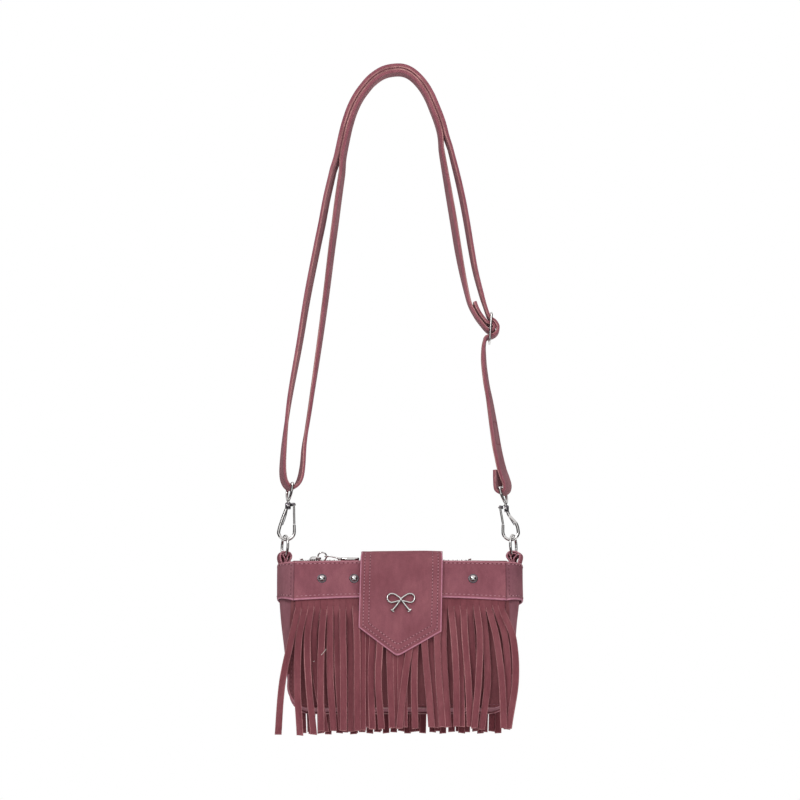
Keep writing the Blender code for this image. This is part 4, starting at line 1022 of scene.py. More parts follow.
def flap_at(run):
    """The flap's middle line and outward direction at a distance along it."""
    for i in range(len(FLAP_RUN) - 1):
        if run <= FLAP_RUN[i + 1] or i == len(FLAP_RUN) - 2:
            share = (run - FLAP_RUN[i]) / (FLAP_RUN[i + 1] - FLAP_RUN[i])
            along = (FLAP_PATH[i + 1] - FLAP_PATH[i]).normalized()
            return FLAP_PATH[i].lerp(FLAP_PATH[i + 1], share), Vector((0.0, along.z, -along.y))
    return FLAP_PATH[-1], Vector((0.0, -1.0, 0.0))


def flap_run_to(z):
    """How far along the flap its front reaches a height."""
    for i in range(len(FLAP_PATH) - 1, 0, -1):
        if FLAP_PATH[i].z <= z <= FLAP_PATH[i - 1].z:
            share = (FLAP_PATH[i - 1].z - z) / (FLAP_PATH[i - 1].z - FLAP_PATH[i].z)
            return FLAP_RUN[i - 1] + share * (FLAP_RUN[i] - FLAP_RUN[i - 1])
    return FLAP_RUN[-1]


SHOULDER_RUN = flap_run_to(FLAP_SHOULDER)
TIP_RUN = flap_run_to(FLAP_TIP)
FRONT_TOP_RUN = flap_run_to(-402.0 * MM)
CORNER_RUN = flap_run_to(-392.8 * MM)


def flap_point(u, run, lift=0.0):
    """A place on the flap: u across from the middle in metres, run along it, lift outward."""
    middle, outward = flap_at(run)
    centre = FLAP_CENTRE + FLAP_LEAN * (min(middle.z, HINGE_Z) - HINGE_Z) * (1.0 if middle.y < 0 else 0.0)
    pinch = 1.0 - 0.035 * exp(-(((run - CORNER_RUN) / (9.0 * MM)) ** 2))
    point = Vector((centre + u * pinch, middle.y, middle.z)) + outward * lift
    return point, outward


def flap_end(u, inset=0.0):
    """How far the flap runs in the column at u, for the pointed end drawn in by an inset."""
    slope = (TIP_RUN - SHOULDER_RUN) / FLAP_HALF_WIDTH
    drop = inset * sqrt(1 + slope * slope)
    blunt = 1.2 * MM
    aside = u + 1.6 * MM
    return TIP_RUN - drop - slope * (sqrt(aside * aside + blunt * blunt) - blunt * 0.6) + 0.085 * u


def flap_wave(u, run):
    below = min(max((run - FRONT_TOP_RUN) / (30 * MM), 0.0), 1.0)
    droop = exp(-(((run - CORNER_RUN) / (9.0 * MM)) ** 2)) * abs(u / FLAP_HALF_WIDTH) ** 6
    return (noise.noise(Vector((u * 26.0, run * 22.0, 4.0))) * 0.45 * MM
            - 0.5 * MM * below * (1 - (u / FLAP_HALF_WIDTH) ** 2) - 0.8 * MM * droop)


def make_flap():
    grid = []
    rim = 0.95 * MM
    across = edged(2 * FLAP_HALF_WIDTH, 26, rim)
    count = 110
    tail_rows = [0.0, rim * 0.35, rim]
    for k in range(count):
        row = []
        for d in across:
            u = d - FLAP_HALF_WIDTH
            last = flap_end(u)
            inner = last - rim * 1.2
            run = tail_rows[-1] + (inner - tail_rows[-1]) * k / (count - 1)
            row.append((u, run))
        grid.append(row)
    head = [[(d - FLAP_HALF_WIDTH, run) for d in across] for run in tail_rows[:2]]
    foot = [[(d - FLAP_HALF_WIDTH, flap_end(d - FLAP_HALF_WIDTH) - cut) for d in across]
            for cut in (rim * 0.42, 0.0)]
    rows = []
    for row in head + grid + foot:
        rows.append([flap_point(u, run, flap_wave(u, run) * min(run / (40 * MM), 1.0))[0] for u, run in row])
    mesh = Mesh()
    slab(mesh, rows, FLAP_SUEDE, "LRTB", {"L": 1, "R": 1, "B": 1, "T": 1}, profile=(0.42, 0.86))
    item = mesh.make("flap_suede", [FLAP_ROSE, PAINT], 50.0)
    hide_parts("flap", "flap_tail")
    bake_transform(item)

    def outward(point):
        return face_normal(point.z, -1.0) if point.z < FOLD_FOOT else Vector((0.0, -0.7, 0.7))

    stitches = Mesh()
    lift = FLAP_SUEDE / 2
    for inset in (3.5 * MM, 7.7 * MM):
        edge = FLAP_HALF_WIDTH - inset
        path = [(-edge, FRONT_TOP_RUN - 10 * MM + step * 1.5 * MM) for step in range(60)]
        path = [(u, run) for u, run in path if run < flap_end(-edge, inset)]
        path += [(-edge + 2 * edge * k / 60, flap_end(-edge + 2 * edge * k / 60, inset)) for k in range(61)]
        right = [(edge, FRONT_TOP_RUN - 10 * MM + step * 1.5 * MM) for step in range(60)]
        path += [(u, run) for u, run in right if run < flap_end(edge, inset)][::-1]
        line = [flap_point(u, run, lift + flap_wave(u, run))[0] for u, run in path]
        stitch_row(stitches, line, outward, FLAP_PITCH, 1.35 * MM, 0.27 * MM)
    finish_piece(stitches.make("flap_stitches", [THREAD, HOLE_SHADE]), "flap", ())

    tail = Mesh()
    inset = 3.5 * MM
    edge = FLAP_HALF_WIDTH - inset
    path = [(-edge, run * MM) for run in range(20, 3, -1)]
    path += [(-edge + 2 * edge * k / 30, inset) for k in range(31)]
    path += [(edge, run * MM) for run in range(4, 21)]
    line = []
    for u, run in path:
        line.append(flap_point(u, run, lift + flap_wave(u, run) * min(run / (40 * MM), 1.0))[0])
    stitch_row(tail, line, lambda p: face_normal(p.z, 1.0), index=0, hole_shade_index=1)
    finish_piece(tail.make("flap_tail_stitches", [THREAD, HOLE_SHADE]), "bag", ())


# Strap: middle line as X, Y, Z and turn in degrees, from the sewn end at the right clasp
STRAP_WIDTH = 11.5 * MM
STRAP_THICKNESS = 2.6 * MM
STRAP_ROUTE = (
    (77.1, 1.6, -326.6, -32), (77.1, 1.6, -332.5, -33), (76.9, 1.4, -338.6, -30), (77.3, 1.2, -342.8, -24),
    (80.3, 0.0, -344.9, -22), (83.6, -1.2, -342.8, -24), (84.0, -1.4, -338.0, -31), (82.3, -0.9, -332.6, -34),
    (80.0, -0.2, -325.4, -32), (77.9, 0.0, -316.0, -29), (76.0, 0.0, -306.0, -28), (73.4, 0.0, -288.0, -24),
    (70.6, 0.0, -269.0, -17), (68.4, 0.0, -257.0, -14), (66.5, 0.0, -241.0, -11), (66.3, 0.0, -229.0, -7),
    (66.9, 0.0, -223.2, -2), (67.9, 0.0, -219.9, 0), (70.5, 0.0, -218.5, 0), (73.7, 0.0, -217.6, 0),
    (76.7, 0.0, -215.0, 0), (77.7, 0.0, -210.7, 0), (75.5, 0.0, -206.6, 0), (72.4, 0.0, -204.2, 0),
    (70.4, 0.0, -201.7, 0), (69.2, 0.0, -198.6, 0), (67.6, 0.0, -193.5, 0), (64.9, 0.0, -184.0, 2),
    (60.2, 0.0, -165.0, 6), (56.7, 0.0, -145.2, 9), (53.6, 0.0, -125.3, 10), (50.1, 0.0, -105.3, 10),
    (45.9, 0.0, -85.3, 9), (41.4, 0.0, -66.5, 7), (37.2, 0.0, -47.3, 5), (34.1, 0.0, -37.3, 4),
    (30.2, 0.0, -27.3, 3), (25.8, 0.0, -16.9, 2), (20.0, 0.0, -7.0, 1), (12.4, 0.0, 1.1, 0),
    (4.5, 0.0, 5.6, 0), (-4.0, 0.0, 6.6, 0), (-14.4, 0.0, 4.3, 0), (-24.0, 0.0, -2.4, -1),
    (-31.0, 0.0, -10.4, -2), (-36.2, 0.0, -18.2, -3), (-40.8, 0.0, -27.8, -5), (-44.3, 0.0, -38.0, -7),
    (-47.0, 0.0, -48.5, -9), (-50.6, 0.0, -66.0, -12), (-54.6, 0.0, -85.3, -14), (-58.9, 0.0, -105.3, -15),
    (-62.4, 0.0, -125.3, -15), (-66.3, 0.0, -145.2, -14), (-73.6, 0.0, -184.8, -12), (-79.7, 0.0, -224.2, -9),
    (-85.8, -0.5, -260.0, -4), (-88.6, -1.0, -280.0, 1), (-90.6, -1.6, -299.0, 8), (-91.9, -2.1, -317.0, 16),
    (-92.0, -2.1, -329.0, 20), (-90.4, -1.6, -336.6, 20), (-86.2, 0.0, -341.0, 20), (-81.6, 1.4, -338.4, 20),
    (-78.5, 2.4, -332.4, 19), (-76.7, 2.2, -322.0, 14), (-75.7, 1.4, -308.0, 8), (-74.2, 0.8, -297.0, 4),
    (-71.5, 0.3, -279.5, 1), (-68.8, 0.0, -260.0, -1), (-63.9, 0.0, -224.2, -6), (-58.9, 0.0, -184.8, -10),
    (-54.4, 0.0, -145.2, -13), (-51.9, 0.0, -125.3, -14), (-49.5, 0.0, -105.3, -14), (-47.1, 0.0, -87.0, -13),
    (-44.6, 0.0, -68.5, -11), (-41.3, 0.0, -50.5, -9), (-38.9, 0.0, -40.5, -7), (-35.8, 0.0, -30.5, -5),
    (-31.6, 0.0, -21.2, -3), (-26.9, 0.0, -14.0, -2), (-20.9, 0.0, -6.6, -1), (-12.6, 0.0, -0.9, 0),
    (-4.0, 0.0, 1.2, 0), (3.2, 0.0, 0.9, 0), (9.4, 0.0, -2.6, 0), (16.0, 0.0, -10.1, 1),
    (21.2, 0.0, -19.0, 2), (25.1, 0.0, -28.9, 3), (28.6, 0.0, -39.0, 4), (31.0, 0.0, -49.0, 5),
    (33.8, 0.0, -67.0, 9), (37.0, 0.0, -86.5, 12), (40.1, 0.0, -105.8, 14), (43.2, 0.0, -125.3, 15),
    (46.2, 0.0, -145.2, 14), (49.6, 0.0, -165.0, 9), (53.7, 0.0, -184.8, 2), (55.8, 0.0, -192.4, 0),
    (58.2, 0.0, -197.6, 0), (61.3, 0.0, -203.0, 0), (65.2, 0.0, -208.2, 0), (68.5, 0.0, -212.3, 0),
    (70.6, 0.0, -213.7, 0), (72.9, 0.0, -213.7, 0), (74.6, 0.0, -211.5, 0), (73.6, 0.0, -208.8, 0),
    (71.2, 0.0, -208.2, 0), (68.9, 0.0, -207.0, 0), (66.1, 0.0, -203.7, 0), (63.5, 0.0, -199.9, 0),
    (61.2, 0.0, -195.4, 0), (59.4, 0.0, -190.6, 0),
)
# One narrow side of the strap's section: width and thickness as shares, and the material of the next stretch
STRAP_EDGE = ((0.62, 1.0, 0), (0.84, 1.0, 0), (0.94, 0.93, 1), (0.985, 0.78, 2), (0.99, 0.6, 2),
              (0.975, 0.42, 2), (0.97, 0.24, 1), (0.985, 0.12, 1), (1.0, 0.0, 1), (1.0, -0.3, 1),
              (1.0, -0.5, 1), (0.99, -0.72, 1), (0.94, -0.93, 0), (0.84, -1.0, 0), (0.62, -1.0, 0))
CROWN_LEFT_END, CROWN_RIGHT_END = -66.0 * MM, -48.0 * MM
CROWN_FADE = 16.0 * MM


def ease(value):
    value = min(max(value, 0.0), 1.0)
    return value * value * (3 - 2 * value)


def crown_share(point):
    """1 where the two runs of the strap lie on each other over the top, 0 where they hang apart."""
    low = CROWN_LEFT_END if point.x < 0 else CROWN_RIGHT_END
    return ease((point.z - low) / CROWN_FADE + 1.0)


def strap_thickness(point):
    """The suede is pressed thinner in the adjuster and round the eyes."""
    pressed = 0.0
    for place, reach in ((Vector((70.0, 0.0, -210.0)), 28.0), (Vector((80.2, 0.0, -346.0)), 16.0),
                         (Vector((-86.2, 0.0, -338.0)), 34.0)):
        pressed = max(pressed, ease(2.0 - (point / MM - place).length / reach * 2.0))
    return STRAP_THICKNESS + (0.5 * (1.0 - pressed) + 0.75 * crown_share(point)) * MM


def strap_rows(steps):
    rows = curve([Vector((x * MM, y * MM, z * MM, radians(turn))) for x, y, z, turn in STRAP_ROUTE], steps)
    points = [row.to_3d() for row in rows]
    settled = []
    for i, point in enumerate(points):
        share = crown_share(point)
        if share > 0.0:
            others = [other for j, other in enumerate(points) if abs(j - i) > 20 * steps]
            near = min(others, key=lambda other: (other - point).length_squared) - point
            gap = max(near.length - strap_thickness(point) - 0.25 * MM, 0.0)
            point = point + near.normalized() * (gap / 2 * share)
        settled.append(point)
    out = []
    for i, (row, point) in enumerate(zip(rows, settled)):
        along = (settled[min(i + 1, len(rows) - 1)] - settled[max(i - 1, 0)]).normalized()
        across = Vector((-sin(row[3]), cos(row[3]), 0.0))
        across = (across - along * across.dot(along)).normalized()
        out.append((point, along, across, along.cross(across)))
    return out


def make_strap():
    rows = strap_rows(4)
    section = [(width, thick) for width, thick, index in STRAP_EDGE]
    section += [(0.0, -1.0)] + [(-width, thick) for width, thick, index in STRAP_EDGE[::-1]] + [(0.0, 1.0)]
    kinds = [index for width, thick, index in STRAP_EDGE] + [0]
    kinds += [index for width, thick, index in STRAP_EDGE[-2::-1]] + [0, 0]
    half_width = STRAP_WIDTH / 2
    size = len(section)
    verts, faces, indices = [], [], []
    for i, (point, _, across, out) in enumerate(rows):
        half_thick = strap_thickness(point) / 2
        ripple = noise.noise(Vector((i * 0.21, 3.0, 0.0))) * 0.12 * MM
        for width, thick in section:
            verts.append(point + across * (width * half_width)
                         + out * (thick * half_thick + ripple * (1 - abs(width))))
    for i in range(len(rows) - 1):
        for k in range(size):
            a, b = i * size + k, i * size + (k + 1) % size
            faces.append((a, b, b + size, a + size))
            indices.append(kinds[k])
    faces += [tuple(range(size))[::-1], tuple(range((len(rows) - 1) * size, len(rows) * size))]
    indices += [1, 1]
    mesh = Mesh()
    mesh.add(verts, faces, indices)
    item = mesh.make("strap_suede", [STRAP_FACE, STRAP_LAYER, STRAP_CORE], 50.0)
    finish_piece(item, "bag", ("strap",))
    # A small stitched box closes the loop at the right clasp
    seams = Mesh()
    first, last = 40, 44
    for face in (-1.0, 1.0):
        loop = []
        for index, share in ((first, -0.62), (first, 0.62), (last, 0.62), (last, -0.62), (first, -0.62)):
            point, along, across, out = rows[index]
            loop.append(point + across * (share * half_width)
                        + out * (face * (strap_thickness(point) / 2 + 0.05 * MM)))
        outward = rows[first][3] * face
        stitch_row(seams, loop, lambda p: outward, 1.5 * MM, 1.25 * MM, 0.3 * MM, 0.3 * MM, False)
    finish_piece(seams.make("strap_end_seams", [SEAM_THREAD]), "bag", ())


# Hardware

def circle(centre, radius, axis_a, axis_b, count=48):
    return [centre + axis_a * (radius * cos(2 * pi * i / count)) + axis_b * (radius * sin(2 * pi * i / count))
            for i in range(count)]


def make_adjuster():
    top = Vector((72.7, 0.0, -200.3)) * MM
    bar = Vector((71.8, 0.0, -211.1)) * MM
    foot = Vector((71.0, 0.0, -222.6)) * MM
    half = STRAP_WIDTH / 2 + 2 * GAP + 1.05 * MM
    side = Vector((0.0, 1.0, 0.0))
    corner = 2.2 * MM
    points = []
    down = (foot - top).normalized()
    for centre, first, second in ((top + side * (half - corner) + down * corner, side, -down),
                                  (top - side * (half - corner) + down * corner, -down, -side),
                                  (foot - side * (half - corner) - down * corner, -side, down),
                                  (foot + side * (half - corner) - down * corner, down, side)):
        for k in range(7):
            turn = pi / 2 * k / 6
            points.append(centre + first * (corner * cos(turn)) + second * (corner * sin(turn)))
    mesh = Mesh()
    tube(mesh, points, 1.02 * MM, True, 14)
    tube(mesh, [bar - side * (half - 0.2 * MM), bar + side * (half - 0.2 * MM)], 0.98 * MM, False, 14)
    finish_piece(mesh.make("adjuster_metal", [NICKEL], 60.0), "bag", ("adjuster",))


class Clasp:
    def __init__(self, prefix, side, eye, turn, collar_x, collar_z, left, right, nose, ring_x):
        self.prefix, self.side, self.turn = prefix, side, radians(turn)
        self.eye = Vector(eye) * MM
        self.collar = Vector((collar_x, 0.0, collar_z)) * MM
        self.left, self.right = left * MM, right * MM
        self.nose = Vector((nose[0], 0.0, nose[1])) * MM
        self.ring_x = ring_x * MM
        self.pivot = self.collar + Vector((side * 4.4 * MM, 0.0, -1.6 * MM))


CLASPS = (Clasp("left", 1.0, (-86.2, 0.0, -338.0), 20.0, -87.6, -352.4, -96.3, -81.4, (-82.8, -369.6), -90.0),
          Clasp("right", -1.0, (80.2, 0.0, -341.4), -22.0, 82.9, -354.6, 79.3, 93.9, (80.7, -369.6), 88.6))
HOOK_WIRE = 1.3 * MM
HOOK_BOTTOM = -383.3 * MM
HOOK_BEND = 6.4 * MM
COLLAR_HEIGHT = 5.4 * MM
RING_RADIUS = 8.35 * MM
RING_WIRE = 1.05 * MM
RING_HANG = 0.8 * MM


def make_eye(clasp):
    turn = clasp.turn * 0.8
    across = Vector((-sin(turn), cos(turn), 0.0))
    half = 7.6 * MM
    foot = clasp.collar + Vector((0.0, 0.0, 1.6 * MM))
    drop = foot - clasp.eye
    points = []
    for share, width in ((0.0, -0.55), (0.0, 0.0), (0.0, 0.55), (0.0, 0.9), (0.12, 1.04), (0.45, 1.0),
                         (0.72, 0.75),
                         (0.92, 0.38), (1.0, 0.0), (0.92, -0.38), (0.72, -0.75), (0.45, -1.0), (0.12, -1.04),
                         (0.0, -0.9)):
        points.append(clasp.eye + drop * share + across * (half * width))
    mesh = Mesh()
    tube(mesh, curve(points, 5, True), 1.1 * MM, True, 14)
    turned(mesh, [(1.0 * MM, 0.3 * MM), (1.0 * MM, -3.0 * MM)], clasp.collar + Vector((0.0, 0.0, 1.2 * MM)))
    finish_piece(mesh.make(clasp.prefix + "_eye_metal", [NICKEL], 60.0), "bag", (clasp.prefix + "_eye",))


def make_hook(clasp):
    side = clasp.side
    back = clasp.left if side > 0 else clasp.right
    front = clasp.right if side > 0 else clasp.left
    middle_x = (back + front) / 2
    half = abs(front - back) / 2 - HOOK_WIRE
    centre_z = HOOK_BOTTOM + HOOK_WIRE + HOOK_BEND
    start = clasp.collar + Vector((-side * 1.2 * MM, 0.0, -COLLAR_HEIGHT + 1.2 * MM))
    points = [start, start + Vector((-side * 1.6 * MM, 0.0, -4.0 * MM)),
              Vector((middle_x - side * (half - 1.6 * MM), 0.0, centre_z + 6.4 * MM))]
    for i in range(9):
        turn = pi * i / 8
        points.append(Vector((middle_x - side * half * cos(turn), 0.0, centre_z - HOOK_BEND * sin(turn))))
    points.append(clasp.nose + Vector((0.0, 0.0, -0.1 * MM - GAP)))
    mesh = Mesh()
    path = curve(points, 6)
    radii = [HOOK_WIRE * (1.0 - 0.16 * (i / len(path)) ** 6) for i in range(len(path))]
    tube(mesh, path, radii, False, 16)
    turned(mesh, [(1.35 * MM, 0.1 * MM), (1.9 * MM, 0.05 * MM), (1.9 * MM, -0.6 * MM),
                  (1.35 * MM, -0.7 * MM)], clasp.collar)
    front_face_y = -2.45 * MM
    block(mesh, clasp.collar + Vector((side * 0.2 * MM, front_face_y, -2.9 * MM)),
          (2.6 * MM, 0.7 * MM, 1.1 * MM), 0.25 * MM)
    item = mesh.make(clasp.prefix + "_hook_metal", [NICKEL], 60.0)
    finish_piece(item, clasp.prefix + "_hook", (clasp.prefix + "_hook",))
    # The collar is in the nearly black nickel, a painted dark reflection of its flat faces.
    collar = Mesh()
    # The collar leaves the gate room to swing in
    toward, away = (2.0 * MM if side > 0 else 1.1 * MM), 2.4 * MM
    block(collar, clasp.collar + Vector((side * (toward - away) / 2, 0.0, -2.8 * MM)),
          (toward + away, 4.6 * MM, 4.8 * MM), 0.45 * MM)
    for y in (-1.0, 1.0):
        middle = Vector((clasp.collar.x + side * 3.7 * MM, y * 1.8 * MM, clasp.pivot.z))
        block(collar, middle, (3.4 * MM, 0.8 * MM, 2.0 * MM), 0.3 * MM)
    finish_piece(collar.make(clasp.prefix + "_collar_metal", [NICKEL_DARK_REFLECTION], 60.0), clasp.prefix + "_hook", ())
    # The leaf spring that pushes the gate shut, lying inside the closed limb; its nearly black nickel is a
    # painted dark reflection line along the limb.
    spring = Mesh()
    top = clasp.collar + Vector((-side * 0.6 * MM, 0.0, -COLLAR_HEIGHT + 0.6 * MM))
    low = Vector((middle_x - side * (half - 3.0 * MM), 0.0, centre_z + 5.2 * MM))
    tube(spring, curve([top, top.lerp(low, 0.5) + Vector((side * 0.5 * MM, 0.0, 0.0)), low], 8), 0.36 * MM,
         False, 8)
    finish_piece(spring.make(clasp.prefix + "_leaf_spring", [NICKEL_DARK_REFLECTION], 60.0), clasp.prefix + "_hook",
                 ())

    gate = Mesh()
    along = clasp.nose - clasp.pivot
    rows = [clasp.pivot + along * share for share in (0.06, 0.15, 0.4, 0.7, 0.93, 1.0)]
    tube(gate, curve(rows, 4), [0.78 * MM + 0.02 * MM * min(i, 6) for i in range(21)], False, 14, 0, 1.25)
    turned(gate, [(0.9 * MM, 1.1 * MM), (1.35 * MM, 1.1 * MM), (1.5 * MM, 0.9 * MM), (1.5 * MM, -0.9 * MM),
                  (1.35 * MM, -1.1 * MM), (0.9 * MM, -1.1 * MM)], clasp.pivot, Vector((0.0, 1.0, 0.0)))
    finish_piece(gate.make(clasp.prefix + "_gate_metal", [NICKEL], 60.0), clasp.prefix + "_gate",
                 (clasp.prefix + "_gate",))
    # The pin is in the nearly black nickel, a painted dark reflection.
    pin = Mesh()
    turned(pin, [(0.5 * MM, 2.62 * MM), (0.95 * MM, 2.5 * MM), (1.0 * MM, 2.3 * MM), (0.6 * MM, 2.25 * MM),
                 (0.6 * MM, -2.25 * MM), (1.0 * MM, -2.3 * MM), (0.95 * MM, -2.5 * MM),
                 (0.5 * MM, -2.62 * MM)],
           clasp.pivot, Vector((0.0, 1.0, 0.0)), 20)
    finish_piece(pin.make(clasp.prefix + "_pin_metal", [NICKEL_DARK_REFLECTION], 60.0), clasp.prefix + "_hook",
                 (clasp.prefix + "_gate_pin",))


def ring_centre(clasp):
    aside = abs(clasp.ring_x - (clasp.left + clasp.right) / 2) + RING_WIRE
    wire_top = HOOK_BOTTOM + 2 * HOOK_WIRE + aside ** 2 / (2 * HOOK_BEND)
    return Vector((clasp.ring_x, 0.0, wire_top + RING_HANG - 0.3 * MM + RING_WIRE - RING_RADIUS))


def make_ring(clasp):
    turn = radians(90.0 + clasp.side * 18.0)
    across = Vector((cos(turn), sin(turn), 0.0))
    mesh = Mesh()
    tube(mesh, circle(ring_centre(clasp), RING_RADIUS, across, Vector((0.0, 0.0, 1.0)), 64), RING_WIRE,
         True, 16)
    finish_piece(mesh.make(clasp.prefix + "_ring_metal", [NICKEL], 60.0), clasp.prefix + "_ring",
                 (clasp.prefix + "_ring",))


def make_tab(clasp):
    side = -clasp.side
    ring = ring_centre(clasp)
    width, thick = 7.6 * MM, 1.5 * MM
    arch = ring.z - RING_RADIUS + RING_WIRE + 1.35 * MM + thick / 2
    reach = TOP_HALF_DEPTH - SUEDE - GAP
    outer = POUCH_HALF_WIDTH + SIDE_BULGE + SUEDE / 2 + GAP + thick / 2
    inner = POUCH_HALF_WIDTH + SIDE_BULGE * (1 - (width / 2 / reach) ** 2) - SUEDE / 2 - 2 * GAP - thick / 2
    middle = abs(ring.x)
    foot = POUCH_TOP - 8.0 * MM
    mesh = Mesh()
    grids = []
    for depth in (0, 1):
        # The second time round is the lining strip inside the first
        inset = depth * (thick + 0.1 * MM)
        profile = [(outer - inset, foot), (outer - inset, POUCH_TOP - 1.0 * MM),
                   (outer + 1.2 * MM - inset, arch - 5.2 * MM),
                   (outer + 1.1 * MM - inset, arch - 2.0 * MM - inset * 0.4),
                   (middle + 2.6 * MM - inset * 0.4, arch - inset),
                   (middle - 1.6 * MM, arch - 0.1 * MM - inset),
                   (middle - 3.6 * MM + inset, arch - 1.7 * MM - inset * 0.4),
                   (middle - 4.0 * MM + inset, arch - 4.4 * MM), (inner + inset * 0.9, POUCH_TOP - 1.0 * MM),
                   (inner + inset * 0.9, foot)]
        if depth:
            waist = arch - 3.5 * MM
            profile = [(middle + (x - middle) * (0.36 if z < waist else 0.9), z) for x, z in profile[1:-1]]
        path = curve([Vector((side * x, 0.0, z)) for x, z in profile], 5)
        grid = []
        for point in path:
            lean = -clasp.side * 0.34 * ease((point.z - POUCH_TOP + 4.0 * MM) / (5.0 * MM))
            grid.append([point + Vector((lean * (d - width / 2), d - width / 2, 0.0))
                         for d in edged(width, 8, 0.8 * MM)])
        grids.append(grid)
        slab(mesh, grid, thick * (1.0 - 0.3 * depth), "LR", {"L": 1, "R": 1}, 2 * depth, (0.5, 0.88))
    item = finish_piece(mesh.make(clasp.prefix + "_tab_suede", [ROSE, TURNED, LINING], 50.0), "bag",
                        (clasp.prefix + "_tab",))
    lay_flat(grids)


def front_face(z, offset):
    return -(half_depth(z) + offset)


RIVET_Z = -416.0 * MM


def make_rivets():
    base = band_offset() + BAND_SUEDE / 2
    z = RIVET_Z
    for i, x in enumerate((-60.5, -35.5, 28.9, 56.6)):
        mesh = Mesh()
        place = Vector((x * MM, front_face(z, base), z))
        dome = [(2.75 * MM * sin(a), 0.4 * MM + 2.1 * MM * cos(a))
                for a in (0.0, 0.2, 0.4, 0.6, 0.8, 1.0, 1.2, 1.4, pi / 2)]
        turned(mesh, dome + [(2.75 * MM, 0.0), (0.0, -0.2 * MM)], place, face_normal(z, -1.0), 40)
        # The seat round the dome is in the nearly black nickel, a painted dark reflection.
        seat = [(2.5 * MM, 0.3 * MM), (3.1 * MM, 0.5 * MM), (3.5 * MM, 0.42 * MM), (3.7 * MM, 0.2 * MM),
                (3.6 * MM, 0.0)]
        turned(mesh, seat, place, face_normal(z, -1.0), 40, 1)
        finish_piece(mesh.make(f"rivet_{i + 1}_metal", [NICKEL, NICKEL_DARK_REFLECTION], 60.0), "bag",
                     (f"rivet_{i + 1}",))


def make_bow():
    stand = FLAP_STAND_OFF + FLAP_SUEDE / 2 + 0.85 * MM

    def place(x, drop, lift=0.0):
        z = BOW_Z - 1.4 * MM + drop
        return Vector((SNAP_X + x, front_face(z, stand + lift), z))

    mesh = Mesh()
    for side in (-1.0, 1.0):
        loop = [place(0.0, 0.9 * MM), place(side * 2.2 * MM, 2.6 * MM), place(side * 5.4 * MM, 4.6 * MM),
                place(side * 8.6 * MM, 4.6 * MM), place(side * 10.4 * MM, 2.2 * MM),
                place(side * 10.0 * MM, -0.6 * MM),
                place(side * 7.6 * MM, -2.2 * MM), place(side * 4.4 * MM, -1.6 * MM),
                place(side * 1.8 * MM, -0.9 * MM),
                place(0.0, -0.4 * MM)]
        tube(mesh, curve(loop, 6), 0.74 * MM, False, 12)
        tail = [place(side * 0.3 * MM, -0.4 * MM, 0.2 * MM), place(side * 2.2 * MM, -3.0 * MM, 0.15 * MM),
                place(side * 4.4 * MM, -6.0 * MM), place(side * 6.6 * MM, -8.6 * MM)]
        path = curve(tail, 5)
        tube(mesh, path, [0.62 * MM + 0.032 * MM * i for i in range(len(path))], False, 12)
        tip = place(side * 6.7 * MM, -8.9 * MM)
        tube(mesh, [tip + Vector((-side * 1.3 * MM, 0.0, -0.7 * MM)), tip,
                    tip + Vector((side * 1.1 * MM, 0.0, 1.1 * MM))],
             0.66 * MM, False, 10)
    ball = [(1.35 * MM * sin(a), 1.1 * MM * cos(a)) for a in (0.0, 0.4, 0.8, 1.2, 1.6, 2.0, 2.4, 2.8, pi)]
    turned(mesh, ball, place(0.0, 0.1 * MM, 0.35 * MM), face_normal(BOW_Z, -1.0), 24)
    finish_piece(mesh.make("bow_metal", [NICKEL], 60.0), "flap", ("bow",))


# Zip

def tape_lip():
    return TOP_HALF_DEPTH - SUEDE / 2 - GAP - 0.225 * MM


def tape_height(y):
    return ZIP_Z - (ZIP_Z - POUCH_TOP + 1.6 * MM) * (abs(y) / tape_lip()) ** 1.2


def make_zip():
    for name, side in (("zip_tape_front", -1.0), ("zip_tape_back", 1.0)):
        grid = []
        for i in range(15):
            y = 0.6 * MM + (tape_lip() - 0.6 * MM) * i / 14
            grid.append([Vector((x * MM, side * y,
                                 tape_height(y) + wave(Vector((x * MM, y, 0.0)), 60.0, 0.25 * MM)))
                         for x in range(-79, 80, 1)])
        mesh = Mesh()
        slab(mesh, grid, 0.8 * MM, "")
        item = finish_piece(mesh.make(name + "_weave", [TAPE]), "bag", (name,))
        lay_flat([grid])
    teeth = Mesh()
    count = 76
    for i in range(count):
        x = (-75.4 + 128.6 * i / (count - 1)) * MM
        side = 1.0 if i % 2 else -1.0
        centre = Vector((x, side * 0.75 * MM, ZIP_Z + 0.1 * MM))
        block(teeth, centre, (1.15 * MM, 3.3 * MM, 1.5 * MM), 0.28 * MM)
    finish_piece(teeth.make("zip_teeth", [NICKEL], 60.0), "bag", ())
    for name, x in (("left_zip_stop", -77.0), ("right_zip_stop", 54.5)):
        stop = Mesh()
        top = ZIP_Z + 0.45 * MM + GAP + 0.5 * MM
        block(stop, Vector((x * MM, 0.0, top)), (2.4 * MM, 5.4 * MM, 1.0 * MM), 0.25 * MM)
        finish_piece(stop.make(name + "_metal", [NICKEL], 60.0), "bag", (name,))


EAR = Vector((-63.6, -6.2, 0.0)) * MM
PULL_Z = -396.5 * MM
PULL_RADIUS = 3.3 * MM
RISE = PULL_Z - (ZIP_Z + 0.45 * MM + GAP + 0.4 * MM)
TILT = radians(25.0)
PULL_CENTRE = Vector((EAR.x + sqrt(PULL_RADIUS ** 2 - (RISE / cos(TILT)) ** 2), EAR.y - RISE * tan(TILT),
                      PULL_Z))


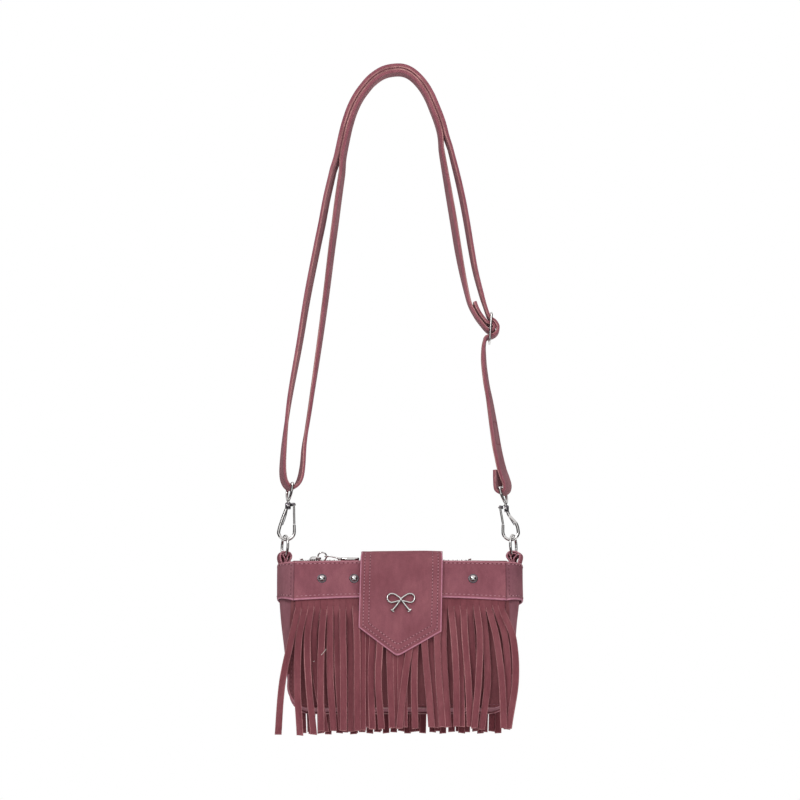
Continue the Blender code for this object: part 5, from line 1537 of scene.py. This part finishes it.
def make_pull():
    mesh = Mesh()
    tube(mesh, circle(PULL_CENTRE, PULL_RADIUS, Vector((1.0, 0.0, 0.0)),
                      Vector((0.0, -sin(TILT), cos(TILT))), 48),
         0.6 * MM, True, 14)
    finish_piece(mesh.make("pull_ring_metal", [NICKEL], 60.0), "pull_ring", ("pull_ring",))
    bar = Mesh()
    link = PULL_CENTRE + Vector((PULL_RADIUS, 0.0, 0.0))
    start, end = Vector((-46.5, -8.6, -399.9)) * MM, Vector((-31.8, -8.6, -399.9)) * MM
    tube(bar, circle(link, 1.3 * MM, Vector((1.0, 0.0, 0.0)), Vector((0.0, 1.0, 0.0)), 28), 0.45 * MM, True,
         12)
    stem = curve([link + Vector((1.3 * MM, 0.0, 0.0)), link + Vector((3.2 * MM, 0.0, 0.0)),
                  start + Vector((-3.0 * MM, 0.3 * MM, 2.2 * MM)),
                  start + Vector((0.5 * MM, -0.2 * MM, 1.1 * MM))], 5)
    tube(bar, stem, [0.5 * MM + 0.03 * MM * i for i in range(len(stem))], False, 12, 0, 0.8)
    turned(bar, [(0.4 * MM, 1.1 * MM), (1.0 * MM, 0.9 * MM), (1.15 * MM, 0.2 * MM), (0.9 * MM, -0.8 * MM)],
           start + Vector((-0.9 * MM, 0.0, 1.3 * MM)), Vector((-1.0, 0.1, 0.35)), 20)
    block(bar, (start + end) / 2 + Vector((0.0, -0.2 * MM, 0.95 * MM)), (14.7 * MM, 1.7 * MM, 2.7 * MM),
          0.5 * MM)
    finish_piece(bar.make("pull_bar_metal", [NICKEL], 60.0), "pull_bar", ("pull_bar",))


def make_lint():
    """Two pale fibres caught on the fringe."""
    mesh = Mesh()
    for x, z, dx, dz, y in ((-58.6, -475.6, 1.9, 2.3, -31.6), (-66.0, -482.6, 0.5, 0.2, -30.6)):
        a = Vector((x - dx, y, z - dz)) * MM
        b = Vector((x + dx, y - 0.2, z + dz)) * MM
        middle = a.lerp(b, 0.5) + Vector((0.2 * MM, -0.5 * MM, 0.0))
        tube(mesh, curve([a, middle, b], 5), 0.16 * MM, False, 6)
    finish_piece(mesh.make("lint_fibres", [LINT]), "bag", ())


def dress_cad():
    """Nodes whose own shape is right keep it and get the finished metal."""
    for name in ("snap_socket", "snap_stud", "zip_slider"):
        mesh = NODES[name].data
        mesh.materials.clear()
        mesh.materials.append(NICKEL)


make_camera()
make_floor()
make_world()
make_lamps()
make_flags()
make_panel("front_panel", -1.0)
make_panel("back_panel", 1.0)
make_gusset()
make_band("front_band", -1.0)
make_band("back_band", 1.0)
make_side_band("left_side_band", -1.0)
make_side_band("right_side_band", 1.0)
make_fringe("front_fringe", -1.0, FRONT_STRIPS, FRINGE_END, [FRINGE_ROSE, FUZZ])
# The back fringe wears the darker suede, painted shade where it hangs behind the bag.
make_fringe("back_fringe", 1.0, BACK_STRIPS, BACK_FRINGE_END, [BACK_SHADE_ROSE, FUZZ])
make_flap()
make_strap()
make_adjuster()
for each in CLASPS:
    make_eye(each)
    make_hook(each)
    make_ring(each)
    make_tab(each)
make_rivets()
make_bow()
make_zip()
make_pull()
make_lint()
dress_cad()

view = bpy.context.scene.view_settings
view.view_transform = "Standard"
